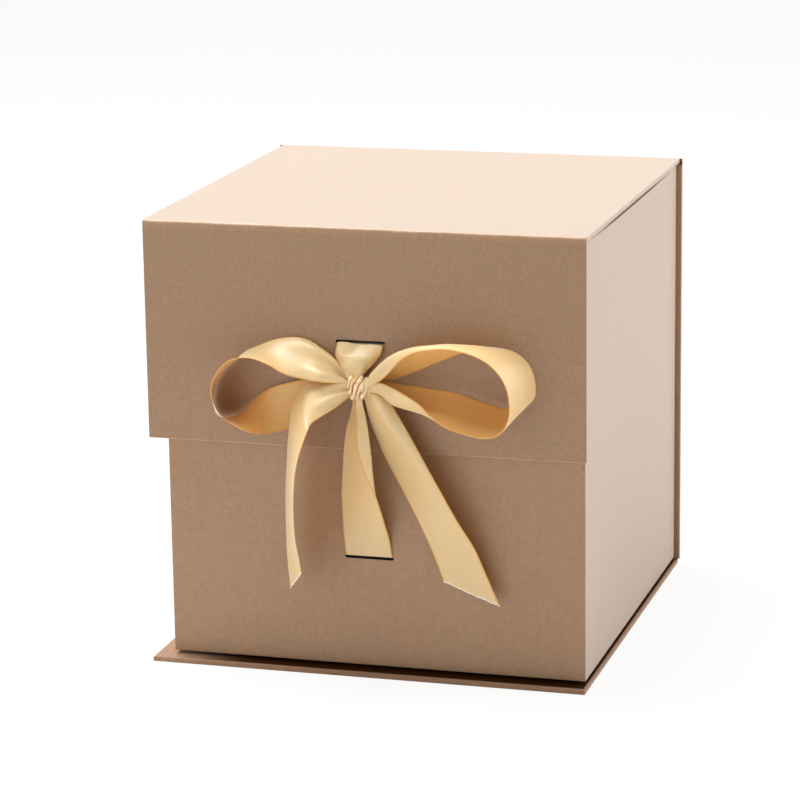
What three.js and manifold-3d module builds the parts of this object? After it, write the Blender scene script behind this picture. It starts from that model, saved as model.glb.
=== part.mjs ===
// Rigid cardboard gift box with a hinged lid, a hanging front flap and a tied satin ribbon.
//
// A case of four greyboard panels, base, back, lid and flap, is wrapped in kraft paper that
// runs on from panel to panel as paper hinges. A deep tray of wrapped greyboard walls stands
// inside it, fixed to the base and the back with strips of foam tape. A ribbon comes out of a
// slot in the flap and another out of a slot in the front wall, and the two are tied in a bow.
//
// Millimetres, +Z up, front of the box towards -Y. The origin is on the underside of the base,
// midway between the case's sides and midway between the flap's face and the back's face.

import * as THREE from 'three';
import { mergeVertices } from 'three/addons/utils/BufferGeometryUtils.js';
import Module from 'manifold-3d';

// Case sizes
const CASE_WIDTH = 225; // side to side
const CASE_DEPTH = 227; // from the flap's face to the back's face
const CASE_HEIGHT = 228; // from the table to the top of the lid
const FLAP_DROP = 111.3; // from the top of the lid to the flap's lower edge
const BASE_LEDGE = 3.9; // how far the base stands out in front of the flap
const BACK_PROUD = 1.4; // the back board is cut this much wider on each side

// Sheet materials
const BOARD = 1.8; // greyboard
const PAPER = 0.25; // kraft wrapping and lining paper
const GLUE = 0.1; // glue line between any two sheets
const TURN_IN = 15; // paper turned over a board's edge onto its other face
const LINING_MARGIN = 3; // lining paper stops this far inside an edge
const FOLD_RADIUS = 0.5; // outside of a paper fold over a board's edge

// Paper hinges
const HINGE_RADIUS = 1.5; // outside of the rounded corner
const HINGE_SET = 2; // a lying board stops this far short of the outer corner
const HINGE_CLEAR = 0.6; // a standing board stops this far short of the lying one's inner face
const HINGE_PAPER = 0.5; // wrapping and lining glued together
const HINGE_STEPS = 8; // facets round the corner

// Tray sizes
const SIDE_LEDGE = 5.25; // how far the case stands out beside the tray, on average
const TRAY_SHIFT = 3.7; // the tray was set this far to the right in its case
const FLAP_GAP = 1.4; // between the flap's lining and the front wall
const LID_GAP = 0.8; // between the lid's lining and the walls' rims
const RIM_TURN_IN = 18; // wrapping turned over the rim into the tray
const FLOOR_TAPE = 2.1; // foam tape under the tray's floor
const BACK_TAPE = 1.3; // foam tape between the rear wall and the back
const TAPE_WIDTH = 18;
const TAPE_INSET = 17; // from the tray's outer faces

// Ribbon sizes
const RIBBON_WIDTH = 24;
const RIBBON_THICKNESS = 0.3;
const RIBBON_CLEAR = 0.4; // between a strand and what it comes out of
const SLOT_LENGTH = 25.2;
const SLOT_HEIGHT = 2;
const FLAP_SLOT_RISE = 54.5; // slot's centre above the flap's lower edge
const WALL_SLOT_FALL = 56.1; // slot's centre below the flap's lower edge
const FLAP_SLOT_X = -0.8;
const WALL_SLOT_X = 0.8;
const ANCHOR_LENGTH = 32; // ribbon end glued down behind a slot

// Bow sizes
const KNOT_RISE = 33.7; // knot's centre above the flap's lower edge
const KNOT_X = 0.9;
const KNOT_STANDOFF = 8; // knot's centre in front of the flap's face
const KNOT_LENGTH = 12;
const KNOT_TALL = 14.4;
const KNOT_DEEP = 11;
const KNOT_WRAPS = 3.5;
const LEFT_LOOP_REACH = 74;
const RIGHT_LOOP_REACH = 83;
const LEFT_TAIL_DROP = 105;
const RIGHT_TAIL_DROP = 114;
const OVERRUN = 5; // how far a cutting block runs past what it cuts

// Sizes worked out from the ones above
const SKIN = PAPER + GLUE;
const UNLINED = SKIN + BOARD + SKIN;
const UNDER_LINING = GLUE + RIBBON_THICKNESS + GLUE; // room for a turn-in or a ribbon's end
const LINED = SKIN + BOARD + UNDER_LINING + PAPER;
const FRONT = -CASE_DEPTH / 2;
const BACK = CASE_DEPTH / 2;
const FLAP_EDGE = CASE_HEIGHT - FLAP_DROP;
const FLAP_SLOT_HEIGHT = FLAP_EDGE + FLAP_SLOT_RISE;
const WALL_SLOT_HEIGHT = FLAP_EDGE - WALL_SLOT_FALL;
const KNOT_HEIGHT = FLAP_EDGE + KNOT_RISE;
const TRAY_WIDTH = CASE_WIDTH - 2 * SIDE_LEDGE;
const TRAY_LEFT = TRAY_SHIFT - TRAY_WIDTH / 2;
const TRAY_RIGHT = TRAY_SHIFT + TRAY_WIDTH / 2;
const TRAY_FRONT = FRONT + LINED + FLAP_GAP;
const TRAY_REAR = BACK - SKIN - BOARD - GLUE - BACK_TAPE - GLUE;
const TRAY_BOTTOM = BOARD + GLUE + FLOOR_TAPE + GLUE;
const TRAY_TOP = CASE_HEIGHT - LINED - LID_GAP;
const FLAP_TOP = CASE_HEIGHT - LINED - HINGE_CLEAR;

// Materials
const kraft = (name, color) => new THREE.MeshStandardMaterial({ name, color, roughness: 0.85, metalness: 0 });
const outerPaper = kraft('kraft paper', 0xb8936f);
const liningPaper = kraft('kraft lining', 0xbd9a77);
const greyboard = kraft('greyboard', 0x8f8577);
const foamTape = kraft('foam tape', 0xe8e6df);
const satin = new THREE.MeshStandardMaterial({ name: 'satin ribbon', color: 0xe6bf86, roughness: 0.35, metalness: 0 });

// Solid joins and cuts
const wasm = await Module();
wasm.setup();

function toSolid(geometry) {
  const bare = geometry.index ? geometry.toNonIndexed() : geometry.clone();
  bare.deleteAttribute('normal');
  bare.deleteAttribute('uv');
  const merged = mergeVertices(bare);
  return new wasm.Manifold(new wasm.Mesh({
    numProp: 3,
    vertProperties: new Float32Array(merged.attributes.position.array),
    triVerts: new Uint32Array(merged.index.array),
  }));
}

function toGeometry(solid) {
  const { vertProperties, triVerts } = solid.getMesh();
  const geometry = new THREE.BufferGeometry();
  geometry.setAttribute('position', new THREE.BufferAttribute(new Float32Array(vertProperties), 3));
  geometry.setIndex(new THREE.BufferAttribute(new Uint32Array(triVerts), 1));
  geometry.computeVertexNormals();
  return geometry;
}

// A block from its lower and upper limits on each axis
function block([x0, x1], [y0, y1], [z0, z1]) {
  const geometry = new THREE.BoxGeometry(x1 - x0, y1 - y0, z1 - z0);
  geometry.translate((x0 + x1) / 2, (y0 + y1) / 2, (z0 + z1) / 2);
  return geometry;
}

// The same block with the rounded long edges that paper has where it is folded over a board
function foldedBlock([x0, x1], [y0, y1], [z0, z1]) {
  const outline = new THREE.Shape();
  outline.moveTo(x0 + FOLD_RADIUS, y0 + FOLD_RADIUS);
  outline.lineTo(x1 - FOLD_RADIUS, y0 + FOLD_RADIUS);
  outline.lineTo(x1 - FOLD_RADIUS, y1 - FOLD_RADIUS);
  outline.lineTo(x0 + FOLD_RADIUS, y1 - FOLD_RADIUS);
  outline.closePath();
  const geometry = new THREE.ExtrudeGeometry(outline, {
    depth: z1 - z0 - 2 * FOLD_RADIUS,
    bevelThickness: FOLD_RADIUS,
    bevelSize: FOLD_RADIUS,
    bevelSegments: 2,
  });
  geometry.translate(0, 0, z0 + FOLD_RADIUS);
  return geometry;
}

// A slot with round ends through the thickness of a flat panel, which lies in the XY plane
function slotCutter(x, y, through) {
  const straight = (SLOT_LENGTH - SLOT_HEIGHT) / 2;
  const radius = SLOT_HEIGHT / 2;
  const outline = new THREE.Shape();
  outline.moveTo(x - straight, y - radius);
  outline.lineTo(x + straight, y - radius);
  outline.absarc(x + straight, y, radius, -Math.PI / 2, Math.PI / 2, false);
  outline.lineTo(x - straight, y + radius);
  outline.absarc(x - straight, y, radius, Math.PI / 2, 1.5 * Math.PI, false);
  const depth = through + 2 * OVERRUN;
  const geometry = new THREE.ExtrudeGeometry(outline, { depth, bevelEnabled: false, curveSegments: 4 });
  geometry.translate(0, 0, -OVERRUN);
  return geometry;
}

function piece(name, geometry, material) {
  const mesh = new THREE.Mesh(geometry, material);
  mesh.name = name;
  return mesh;
}

// One panel of the case, lying on its outer face. X runs across it, Y along the case from its
// start to its length, and Z from its outer face to its inner one. A free edge has its paper
// turned in, and at a hinge the paper runs on.
function casePanel(name, { width, length, freeStart = false, freeEnd = false, lined = false, slotAt = null }) {
  const half = width / 2;
  const start = freeStart ? SKIN : 0;
  const end = length - (freeEnd ? SKIN : 0);
  const openFrom = freeStart ? TURN_IN : -OVERRUN;
  const openTo = freeEnd ? length - TURN_IN : length + OVERRUN;
  const overStart = freeStart ? GLUE : OVERRUN;
  const overEnd = freeEnd ? GLUE : OVERRUN;

  let board = toSolid(block([SKIN - half, half - SKIN], [start, end], [SKIN, SKIN + BOARD]));
  const blank = toSolid(foldedBlock(
    [-half, half],
    [freeStart ? 0 : -OVERRUN, freeEnd ? length : length + OVERRUN],
    [0, UNLINED],
  ));
  const trim = toSolid(block([-width, width], [0, length], [-OVERRUN, UNLINED + OVERRUN]));
  const cavity = toSolid(block(
    [PAPER - half, half - PAPER],
    [start - overStart, end + overEnd],
    [PAPER, SKIN + BOARD + GLUE],
  ));
  const opening = toSolid(block(
    [TURN_IN - half, half - TURN_IN],
    [openFrom, openTo],
    [SKIN + BOARD, UNLINED + OVERRUN],
  ));
  let wrap = blank.intersect(trim).subtract(cavity).subtract(opening);
  if (slotAt) {
    const cutter = toSolid(slotCutter(slotAt[0], slotAt[1], LINED));
    board = board.subtract(cutter);
    wrap = wrap.subtract(cutter);
  }
  const group = new THREE.Group();
  group.add(piece(`${name}_board`, toGeometry(board), greyboard));
  group.add(piece(`${name}_wrap`, toGeometry(wrap), outerPaper));
  if (lined) {
    const lining = block(
      [LINING_MARGIN - half, half - LINING_MARGIN],
      [freeStart ? LINING_MARGIN : 0, freeEnd ? length - LINING_MARGIN : length],
      [LINED - PAPER, LINED],
    );
    group.add(piece(`${name}_liner`, lining, liningPaper));
  }
  return group;
}

// The paper round a corner of the case, seen from the side: down from the lying board's end,
// round the corner and along to the standing board's end. The corner is at the origin, the
// lying board is towards -X and the standing one towards -Y.
function hingeStrip(name, standing, width) {
  const inner = HINGE_RADIUS - HINGE_PAPER;
  const outline = new THREE.Shape();
  outline.moveTo(GLUE - HINGE_SET, 0);
  outline.lineTo(-HINGE_RADIUS, 0);
  outline.absarc(-HINGE_RADIUS, -HINGE_RADIUS, HINGE_RADIUS, Math.PI / 2, 0, true);
  outline.lineTo(0, GLUE - standing);
  outline.lineTo(-HINGE_PAPER, GLUE - standing);
  outline.lineTo(-HINGE_PAPER, -HINGE_RADIUS);
  outline.absarc(-HINGE_RADIUS, -HINGE_RADIUS, inner, 0, Math.PI / 2, false);
  outline.lineTo(GLUE - HINGE_SET, -HINGE_PAPER);
  outline.closePath();
  const geometry = new THREE.ExtrudeGeometry(outline, {
    depth: width,
    bevelEnabled: false,
    curveSegments: HINGE_STEPS,
  });
  geometry.translate(0, 0, -width / 2);
  return piece(name, geometry, outerPaper);
}

// Turns a corner's outline, drawn in XY, so that it runs along the box's X
function placeCorner(mesh, y, z, { mirrored = false, below = false }) {
  const toward = new THREE.Vector3(0, mirrored ? -1 : 1, 0);
  const upward = new THREE.Vector3(0, 0, below ? -1 : 1);
  const across = new THREE.Vector3().crossVectors(toward, upward);
  mesh.geometry.applyMatrix4(new THREE.Matrix4().makeBasis(toward, upward, across));
  mesh.position.set(0, y, z);
  return mesh;
}

// The outer case: four panels and the paper hinges between them
function makeCase() {
  const group = new THREE.Group();
  const quarter = Math.PI / 2;

  const base = casePanel('base', { width: CASE_WIDTH, length: CASE_DEPTH + BASE_LEDGE - HINGE_SET, freeStart: true });
  base.position.set(0, FRONT - BASE_LEDGE, 0);

  const backStart = UNLINED + HINGE_CLEAR;
  const back = casePanel('back', { width: CASE_WIDTH + 2 * BACK_PROUD, length: FLAP_TOP - backStart });
  back.position.set(0, BACK, backStart);
  back.rotation.x = quarter;

  const lid = casePanel('lid', { width: CASE_WIDTH, length: CASE_DEPTH - 2 * HINGE_SET, lined: true });
  lid.position.set(0, BACK - HINGE_SET, CASE_HEIGHT);
  lid.rotation.x = 2 * quarter;

  const flapLength = FLAP_TOP - CASE_HEIGHT + FLAP_DROP;
  const flap = casePanel('flap', {
    width: CASE_WIDTH,
    length: flapLength,
    freeEnd: true,
    lined: true,
    slotAt: [FLAP_SLOT_X, FLAP_TOP - FLAP_SLOT_HEIGHT],
  });
  flap.position.set(0, FRONT, FLAP_TOP);
  flap.rotation.x = 3 * quarter;

  const topSet = CASE_HEIGHT - FLAP_TOP;
  const baseHinge = hingeStrip('base_hinge_strip', backStart, CASE_WIDTH);
  const rearHinge = hingeStrip('rear_hinge_strip', topSet, CASE_WIDTH);
  const frontHinge = hingeStrip('front_hinge_strip', topSet, CASE_WIDTH);
  group.add(base, back, lid, flap);
  group.add(placeCorner(baseHinge, BACK, 0, { below: true }));
  group.add(placeCorner(rearHinge, BACK, CASE_HEIGHT, {}));
  group.add(placeCorner(frontHinge, FRONT, CASE_HEIGHT, { mirrored: true }));
  return group;
}

// A block inside the tray's outline, set in from its four outer faces
function trayBlock(inset, z0, z1) {
  return block([TRAY_LEFT + inset, TRAY_RIGHT - inset], [TRAY_FRONT + inset, TRAY_REAR - inset], [z0, z1]);
}

// A slot through the front wall
function wallSlot() {
  const cutter = slotCutter(WALL_SLOT_X, WALL_SLOT_HEIGHT, SKIN + BOARD + UNDER_LINING);
  cutter.rotateX(Math.PI / 2);
  cutter.translate(0, TRAY_FRONT + SKIN + BOARD + UNDER_LINING, 0);
  return toSolid(cutter);
}

function makeTrayBoards() {
  const group = new THREE.Group();
  const face = SKIN; // outer face of the wall boards
  const inside = SKIN + BOARD; // their inner face
  const low = TRAY_BOTTOM + SKIN;
  const high = TRAY_TOP - SKIN;
  const across = [TRAY_LEFT + face, TRAY_RIGHT - face];
  const between = [TRAY_FRONT + inside + GLUE, TRAY_REAR - inside - GLUE];
  const front = block(across, [TRAY_FRONT + face, TRAY_FRONT + inside], [low, high]);
  const rear = block(across, [TRAY_REAR - inside, TRAY_REAR - face], [low, high]);
  const left = block([TRAY_LEFT + face, TRAY_LEFT + inside], between, [low, high]);
  const right = block([TRAY_RIGHT - inside, TRAY_RIGHT - face], between, [low, high]);
  const floor = trayBlock(inside + GLUE, low, low + BOARD);
  group.add(piece('front_wall', toGeometry(toSolid(front).subtract(wallSlot())), greyboard));
  group.add(piece('rear_wall', rear, greyboard));
  group.add(piece('left_wall', left, greyboard));
  group.add(piece('right_wall', right, greyboard));
  group.add(piece('tray_floor', floor, greyboard));
  return group;
}

// One sheet round all four walls, over the rim into the tray and under the floor's edges
function makeTrayWrap() {
  const behindBoard = SKIN + BOARD + GLUE;
  const rimEnd = TRAY_TOP - RIM_TURN_IN;
  const outline = foldedBlock([TRAY_LEFT, TRAY_RIGHT], [TRAY_FRONT, TRAY_REAR], [TRAY_BOTTOM, TRAY_TOP]);
  const room = toSolid(trayBlock(PAPER, TRAY_BOTTOM + PAPER, rimEnd));
  const upperRoom = toSolid(trayBlock(PAPER, rimEnd - PAPER, TRAY_TOP - PAPER))
    .subtract(toSolid(trayBlock(behindBoard, rimEnd - OVERRUN, TRAY_TOP + OVERRUN)));
  const mouth = toSolid(trayBlock(behindBoard + PAPER, rimEnd - PAPER, TRAY_TOP + OVERRUN));
  const underside = toSolid(trayBlock(TURN_IN, TRAY_BOTTOM - OVERRUN, TRAY_BOTTOM + SKIN));
  const wrap = toSolid(outline).subtract(room).subtract(upperRoom).subtract(mouth).subtract(underside);
  return piece('tray_wrap', toGeometry(wrap.subtract(wallSlot())), outerPaper);
}

// Lining paper: a sleeve round the inside of the walls and a sheet on the floor
function makeTrayLining() {
  const group = new THREE.Group();
  const outer = SKIN + BOARD + UNDER_LINING;
  const floorTop = TRAY_BOTTOM + SKIN + BOARD;
  const low = floorTop + GLUE;
  const high = TRAY_TOP - LINING_MARGIN;
  const sleeve = toSolid(trayBlock(outer, low, high))
    .subtract(toSolid(trayBlock(outer + PAPER, low - OVERRUN, high + OVERRUN)));
  group.add(piece('tray_lining', toGeometry(sleeve), liningPaper));
  group.add(piece('floor_lining', trayBlock(outer + PAPER + GLUE, low, low + PAPER), liningPaper));
  return group;
}

// Foam tape: four strips under the floor and two up the rear wall
function makeTapes() {
  const group = new THREE.Group();
  const low = SKIN + BOARD + GLUE;
  const lying = [low, low + FLOOR_TAPE];
  const left = TRAY_LEFT + TAPE_INSET;
  const right = TRAY_RIGHT - TAPE_INSET;
  const front = TRAY_FRONT + TAPE_INSET;
  const rear = TRAY_REAR - TAPE_INSET;
  const between = [front + TAPE_WIDTH + GLUE, rear - TAPE_WIDTH - GLUE];
  const standing = [TRAY_REAR + GLUE, TRAY_REAR + GLUE + BACK_TAPE];
  const tall = [TRAY_BOTTOM + TAPE_INSET, TRAY_TOP - TAPE_INSET];
  group.add(piece('floor_tape_front', block([left, right], [front, front + TAPE_WIDTH], lying), foamTape));
  group.add(piece('floor_tape_rear', block([left, right], [rear - TAPE_WIDTH, rear], lying), foamTape));
  group.add(piece('floor_tape_left', block([left, left + TAPE_WIDTH], between, lying), foamTape));
  group.add(piece('floor_tape_right', block([right - TAPE_WIDTH, right], between, lying), foamTape));
  group.add(piece('back_tape_left', block([left, left + TAPE_WIDTH], standing, tall), foamTape));
  group.add(piece('back_tape_right', block([right - TAPE_WIDTH, right], standing, tall), foamTape));
  return group;
}

// A ribbon's hidden end: through its slot and glued flat behind it, under the lining. The outline
// is drawn from the side, with the panel's outer face at x = 0, the slot at y = 0 and the glued
// length rising from its upper lip.
function ribbonAnchor(name) {
  const lip = SLOT_HEIGHT / 2 - GLUE - RIBBON_THICKNESS;
  const rear = SKIN + BOARD + UNDER_LINING - GLUE;
  const near = rear - RIBBON_THICKNESS;
  const outline = new THREE.Shape();
  outline.moveTo(0, lip);
  outline.lineTo(rear, lip);
  outline.lineTo(rear, lip + ANCHOR_LENGTH);
  outline.lineTo(near, lip + ANCHOR_LENGTH);
  outline.lineTo(near, lip + RIBBON_THICKNESS);
  outline.lineTo(0, lip + RIBBON_THICKNESS);
  outline.closePath();
  const geometry = new THREE.ExtrudeGeometry(outline, { depth: RIBBON_WIDTH, bevelEnabled: false });
  geometry.translate(0, 0, -RIBBON_WIDTH / 2);
  return piece(name, geometry, satin);
}

function makeAnchors() {
  const group = new THREE.Group();
  const intoBox = new THREE.Vector3(0, 1, 0);
  const up = new THREE.Vector3(0, 0, 1);
  const right = new THREE.Vector3(1, 0, 0);
  const wallEnd = ribbonAnchor('wall_ribbon_end');
  wallEnd.geometry.applyMatrix4(new THREE.Matrix4().makeBasis(intoBox, up, right));
  wallEnd.position.set(WALL_SLOT_X, TRAY_FRONT, WALL_SLOT_HEIGHT);
  const flapEnd = ribbonAnchor('flap_ribbon_end');
  flapEnd.geometry.applyMatrix4(new THREE.Matrix4().makeBasis(intoBox, up.negate(), right.negate()));
  flapEnd.position.set(FLAP_SLOT_X, FRONT, FLAP_SLOT_HEIGHT);
  group.add(flapEnd, wallEnd);
  return group;
}

// Stations of the bow's ribbons. at is the place of the ribbon's middle from the knot's centre,
// to the right and up, in shares of that ribbon's reach. lift is how far its nearer edge stands
// off the flap's face, in shares of the knot's standoff. across points from the edge nearer the
// box to the one nearer the viewer. cup is how far the ribbon curls across its width, in degrees,
// and gather is the share of its width that its pleats leave.
const LEFT_LOOP_SHARES = [
  { at: [-0.095, 0.045], lift: 0.68, across: [0.1, -0.97, -0.2], cup: 150, gather: 0.25 },
  { at: [-0.16, 0.12], lift: 0.42, across: [0.25, -0.9, -0.36], cup: 110, gather: 0.65 },
  { at: [-0.26, 0.17], lift: 0.28, across: [0.22, -0.8, -0.55], cup: 60, gather: 0.95 },
  { at: [-0.38, 0.185], lift: 0.25, across: [0.22, -0.65, -0.73], cup: 30, gather: 1 },
  { at: [-0.53, 0.2], lift: 0.25, across: [0.34, -0.77, -0.54], cup: 10, gather: 1 },
  { at: [-0.65, 0.2], lift: 0.25, across: [0.49, -0.86, -0.18], cup: 0, gather: 1 },
  { at: [-0.76, 0.2], lift: 0.25, across: [0.45, -0.89, 0.09], cup: 0, gather: 1 },
  { at: [-0.86, 0.16], lift: 0.25, across: [0.22, -0.92, 0.32], cup: 0, gather: 1 },
  { at: [-0.95, 0.07], lift: 0.25, across: [0.18, -0.94, 0.28], cup: 0, gather: 1 },
  { at: [-1, -0.045], lift: 0.25, across: [0.23, -0.95, 0.2], cup: 0, gather: 1 },
  { at: [-0.995, -0.155], lift: 0.25, across: [0.35, -0.91, 0.22], cup: 0, gather: 1 },
  { at: [-0.905, -0.25], lift: 0.25, across: [0.26, -0.95, 0.14], cup: 0, gather: 1 },
  { at: [-0.82, -0.245], lift: 0.25, across: [0.21, -0.97, -0.08], cup: 0, gather: 1 },
  { at: [-0.73, -0.22], lift: 0.25, across: [0.15, -0.85, -0.5], cup: 0, gather: 1 },
  { at: [-0.62, -0.185], lift: 0.35, across: [0.05, -0.4, -0.92], cup: 15, gather: 1 },
  { at: [-0.47, -0.13], lift: 0.32, across: [0.06, -0.22, -0.97], cup: 30, gather: 0.97 },
  { at: [-0.29, -0.065], lift: 0.32, across: [0.06, -0.15, -0.98], cup: 50, gather: 0.8 },
  { at: [-0.17, -0.045], lift: 0.42, across: [0.08, -0.2, -0.97], cup: 70, gather: 0.45 },
  { at: [-0.095, -0.03], lift: 0.5, across: [0.1, -0.3, -0.95], cup: 120, gather: 0.2 },
];
const RIGHT_LOOP_SHARES = [
  { at: [0.085, 0.035], lift: 0.7, across: [0.06, -0.99, 0.13], cup: 150, gather: 0.25 },
  { at: [0.165, 0.085], lift: 0.42, across: [0.13, -0.95, 0.28], cup: 170, gather: 0.7 },
  { at: [0.27, 0.14], lift: 0.3, across: [0.18, -0.78, 0.6], cup: 150, gather: 0.95 },
  { at: [0.45, 0.225], lift: 0.25, across: [0.2, -0.82, 0.54], cup: 100, gather: 1 },
  { at: [0.63, 0.268], lift: 0.25, across: [-0.07, -0.97, 0.24], cup: 60, gather: 1 },
  { at: [0.78, 0.27], lift: 0.25, across: [-0.12, -0.99, 0.02], cup: 30, gather: 1 },
  { at: [0.89, 0.232], lift: 0.25, across: [-0.27, -0.96, -0.08], cup: 10, gather: 1 },
  { at: [0.965, 0.155], lift: 0.25, across: [-0.32, -0.94, -0.12], cup: 0, gather: 1 },
  { at: [1, 0.045], lift: 0.25, across: [-0.32, -0.94, -0.12], cup: 0, gather: 1 },
  { at: [0.992, -0.06], lift: 0.25, across: [-0.3, -0.93, -0.22], cup: 0, gather: 1 },
  { at: [0.94, -0.13], lift: 0.25, across: [-0.27, -0.9, -0.36], cup: 0, gather: 1 },
  { at: [0.845, -0.157], lift: 0.25, across: [-0.19, -0.9, -0.4], cup: 0, gather: 1 },
  { at: [0.717, -0.135], lift: 0.25, across: [-0.12, -0.91, -0.4], cup: 20, gather: 1 },
  { at: [0.56, -0.075], lift: 0.25, across: [-0.21, -0.95, -0.22], cup: 80, gather: 1 },
  { at: [0.405, -0.003], lift: 0.28, across: [-0.04, -0.99, 0.1], cup: 140, gather: 1 },
  { at: [0.27, 0.015], lift: 0.35, across: [0.11, -0.99, 0.11], cup: 180, gather: 0.85 },
  { at: [0.165, 0], lift: 0.5, across: [0.15, -0.98, 0.08], cup: 170, gather: 0.55 },
  { at: [0.085, 0], lift: 0.68, across: [0.17, -0.98, 0.08], cup: 100, gather: 0.25 },
];
const LEFT_TAIL_SHARES = [
  { at: [-0.073, -0.006], lift: 1.1, across: [0.12, -0.42, -0.9], cup: 100, gather: 0.34 },
  { at: [-0.102, -0.018], lift: 1.3, across: [0.15, -0.5, -0.85], cup: 80, gather: 0.66 },
  { at: [-0.156, -0.04], lift: 1.5, across: [0.2, -0.6, -0.72], cup: 50, gather: 0.86 },
  { at: [-0.217, -0.07], lift: 1.62, across: [0.38, -0.66, -0.64], cup: 25, gather: 0.97 },
  { at: [-0.249, -0.13], lift: 1.72, across: [0.55, -0.77, -0.3], cup: 5, gather: 1 },
  { at: [-0.264, -0.19], lift: 1.75, across: [0.53, -0.82, -0.23], cup: 0, gather: 1 },
  { at: [-0.28, -0.264], lift: 1.69, across: [0.51, -0.86, -0.06], cup: 0, gather: 1 },
  { at: [-0.296, -0.357], lift: 1.56, across: [0.46, -0.89, 0], cup: 0, gather: 1 },
  { at: [-0.308, -0.462], lift: 1.44, across: [0.45, -0.89, 0], cup: 0, gather: 1 },
  { at: [-0.315, -0.668], lift: 1.25, across: [0.47, -0.88, 0], cup: 0, gather: 1 },
  { at: [-0.308, -0.829], lift: 1.06, across: [0.55, -0.84, 0], cup: 0, gather: 1 },
  { at: [-0.296, -1], lift: 0.94, across: [0.57, -0.82, 0], cup: 0, gather: 1 },
];
const RIGHT_TAIL_SHARES = [
  { at: [0.066, -0.04], lift: 0.6, across: [0.85, -0.44, 0.31], cup: 120, gather: 0.22 },
  { at: [0.085, -0.085], lift: 0.4, across: [0.8, -0.45, 0.38], cup: 80, gather: 0.55 },
  { at: [0.115, -0.15], lift: 0.2, across: [0.76, -0.47, 0.44], cup: 50, gather: 0.8 },
  { at: [0.157, -0.228], lift: 0.08, across: [0.76, -0.47, 0.44], cup: 30, gather: 0.92 },
  { at: [0.21, -0.32], lift: 0.06, across: [0.79, -0.41, 0.45], cup: 15, gather: 1 },
  { at: [0.336, -0.564], lift: 0.05, across: [0.84, -0.3, 0.46], cup: 0, gather: 1 },
  { at: [0.407, -0.732], lift: 0, across: [0.89, -0.15, 0.44], cup: 0, gather: 1 },
  { at: [0.439, -0.805], lift: 0, across: [0.89, -0.13, 0.44], cup: 0, gather: 1 },
  { at: [0.511, -1], lift: 0, across: [0.89, -0.1, 0.45], cup: 0, gather: 1 },
];

// A smooth surface through a ribbon's stations. along runs from 0 to 1 over its length and aside
// from -0.5, the edge nearer the box, to 0.5. side is 1 where the ribbon bulges to the right of
// its run as seen along it from the front, and -1 where it bulges to the left.
function ribbonSurface(stations, side) {
  const middles = new THREE.CatmullRomCurve3(stations.map(({ middle }) => middle), false, 'centripetal');
  const acrosses = new THREE.CatmullRomCurve3(stations.map(({ across }) => across), false, 'centripetal');
  const cups = new THREE.CatmullRomCurve3(
    stations.map(({ cup, gather }, i) => new THREE.Vector3(cup, gather, i)),
    false,
    'centripetal',
  );
  return (along, aside) => {
    const middle = middles.getPoint(along);
    const tangent = middles.getTangent(along);
    const across = acrosses.getPoint(along).normalize();
    const { x: cup, y: gather } = cups.getPoint(along);
    const bulge = new THREE.Vector3().crossVectors(across, tangent).normalize().multiplyScalar(side);
    const angle = THREE.MathUtils.degToRad(Math.max(cup, 1));
    const radius = RIBBON_WIDTH * gather / angle;
    const turn = angle * aside;
    const point = middle.clone()
      .addScaledVector(across, radius * Math.sin(turn))
      .addScaledVector(bulge, radius * (Math.cos(turn) - Math.cos(angle / 2)));
    const normal = bulge.clone().multiplyScalar(Math.cos(turn)).addScaledVector(across, Math.sin(turn));
    return { point, normal };
  };
}

// Closes rings of points into one solid, with a strip of faces across each end
function stitchRings(rings, capStrip) {
  const count = rings[0].length;
  const positions = rings.flat().flatMap((point) => point.toArray());
  const index = [];
  for (let i = 0; i + 1 < rings.length; i += 1) {
    for (let j = 0; j < count; j += 1) {
      const a = i * count + j;
      const b = i * count + (j + 1) % count;
      index.push(a, b, b + count, a, b + count, a + count);
    }
  }
  for (const [p, q, r] of capStrip) {
    const last = (rings.length - 1) * count;
    index.push(r, q, p, last + p, last + q, last + r);
  }
  const geometry = new THREE.BufferGeometry();
  geometry.setAttribute('position', new THREE.Float32BufferAttribute(positions, 3));
  geometry.setIndex(index);
  return outward(geometry);
}

// Turns a closed mesh's faces round if they point inwards
function outward(geometry) {
  const { array } = geometry.attributes.position;
  const index = geometry.index.array;
  const corner = (k) => new THREE.Vector3().fromArray(array, 3 * index[k]);
  let volume = 0;
  for (let k = 0; k < index.length; k += 3) volume += corner(k).dot(corner(k + 1).cross(corner(k + 2)));
  if (volume < 0) {
    for (let k = 0; k < index.length; k += 3) [index[k], index[k + 1]] = [index[k + 1], index[k]];
  }
  geometry.computeVertexNormals();
  return geometry;
}

// A ribbon of real thickness. cut is the share of its length that the edge nearer the box falls
// short by, which slants its end. Below zero, the edge nearer the viewer is the short one.
function ribbonRun(name, stations, { side, steps, lanes = 6, cut = 0 }) {
  const surface = ribbonSurface(stations, side);
  const rings = [];
  for (let i = 0; i <= steps; i += 1) {
    const faces = { outer: [], inner: [] };
    for (let j = 0; j <= lanes; j += 1) {
      const aside = j / lanes - 0.5;
      const along = i / steps * (1 - Math.abs(cut) * (0.5 - Math.sign(cut) * aside));
      const { point, normal } = surface(along, aside);
      faces.outer.push(point.clone().addScaledVector(normal, RIBBON_THICKNESS / 2));
      faces.inner.unshift(point.clone().addScaledVector(normal, -RIBBON_THICKNESS / 2));
    }
    rings.push([...faces.outer, ...faces.inner]);
  }
  const capStrip = [];
  for (let j = 0; j < lanes; j += 1) {
    const far = 2 * lanes + 1 - j;
    capStrip.push([j, j + 1, far], [j + 1, far - 1, far]);
  }
  return piece(name, stitchRings(rings, capStrip), satin);
}

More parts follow.
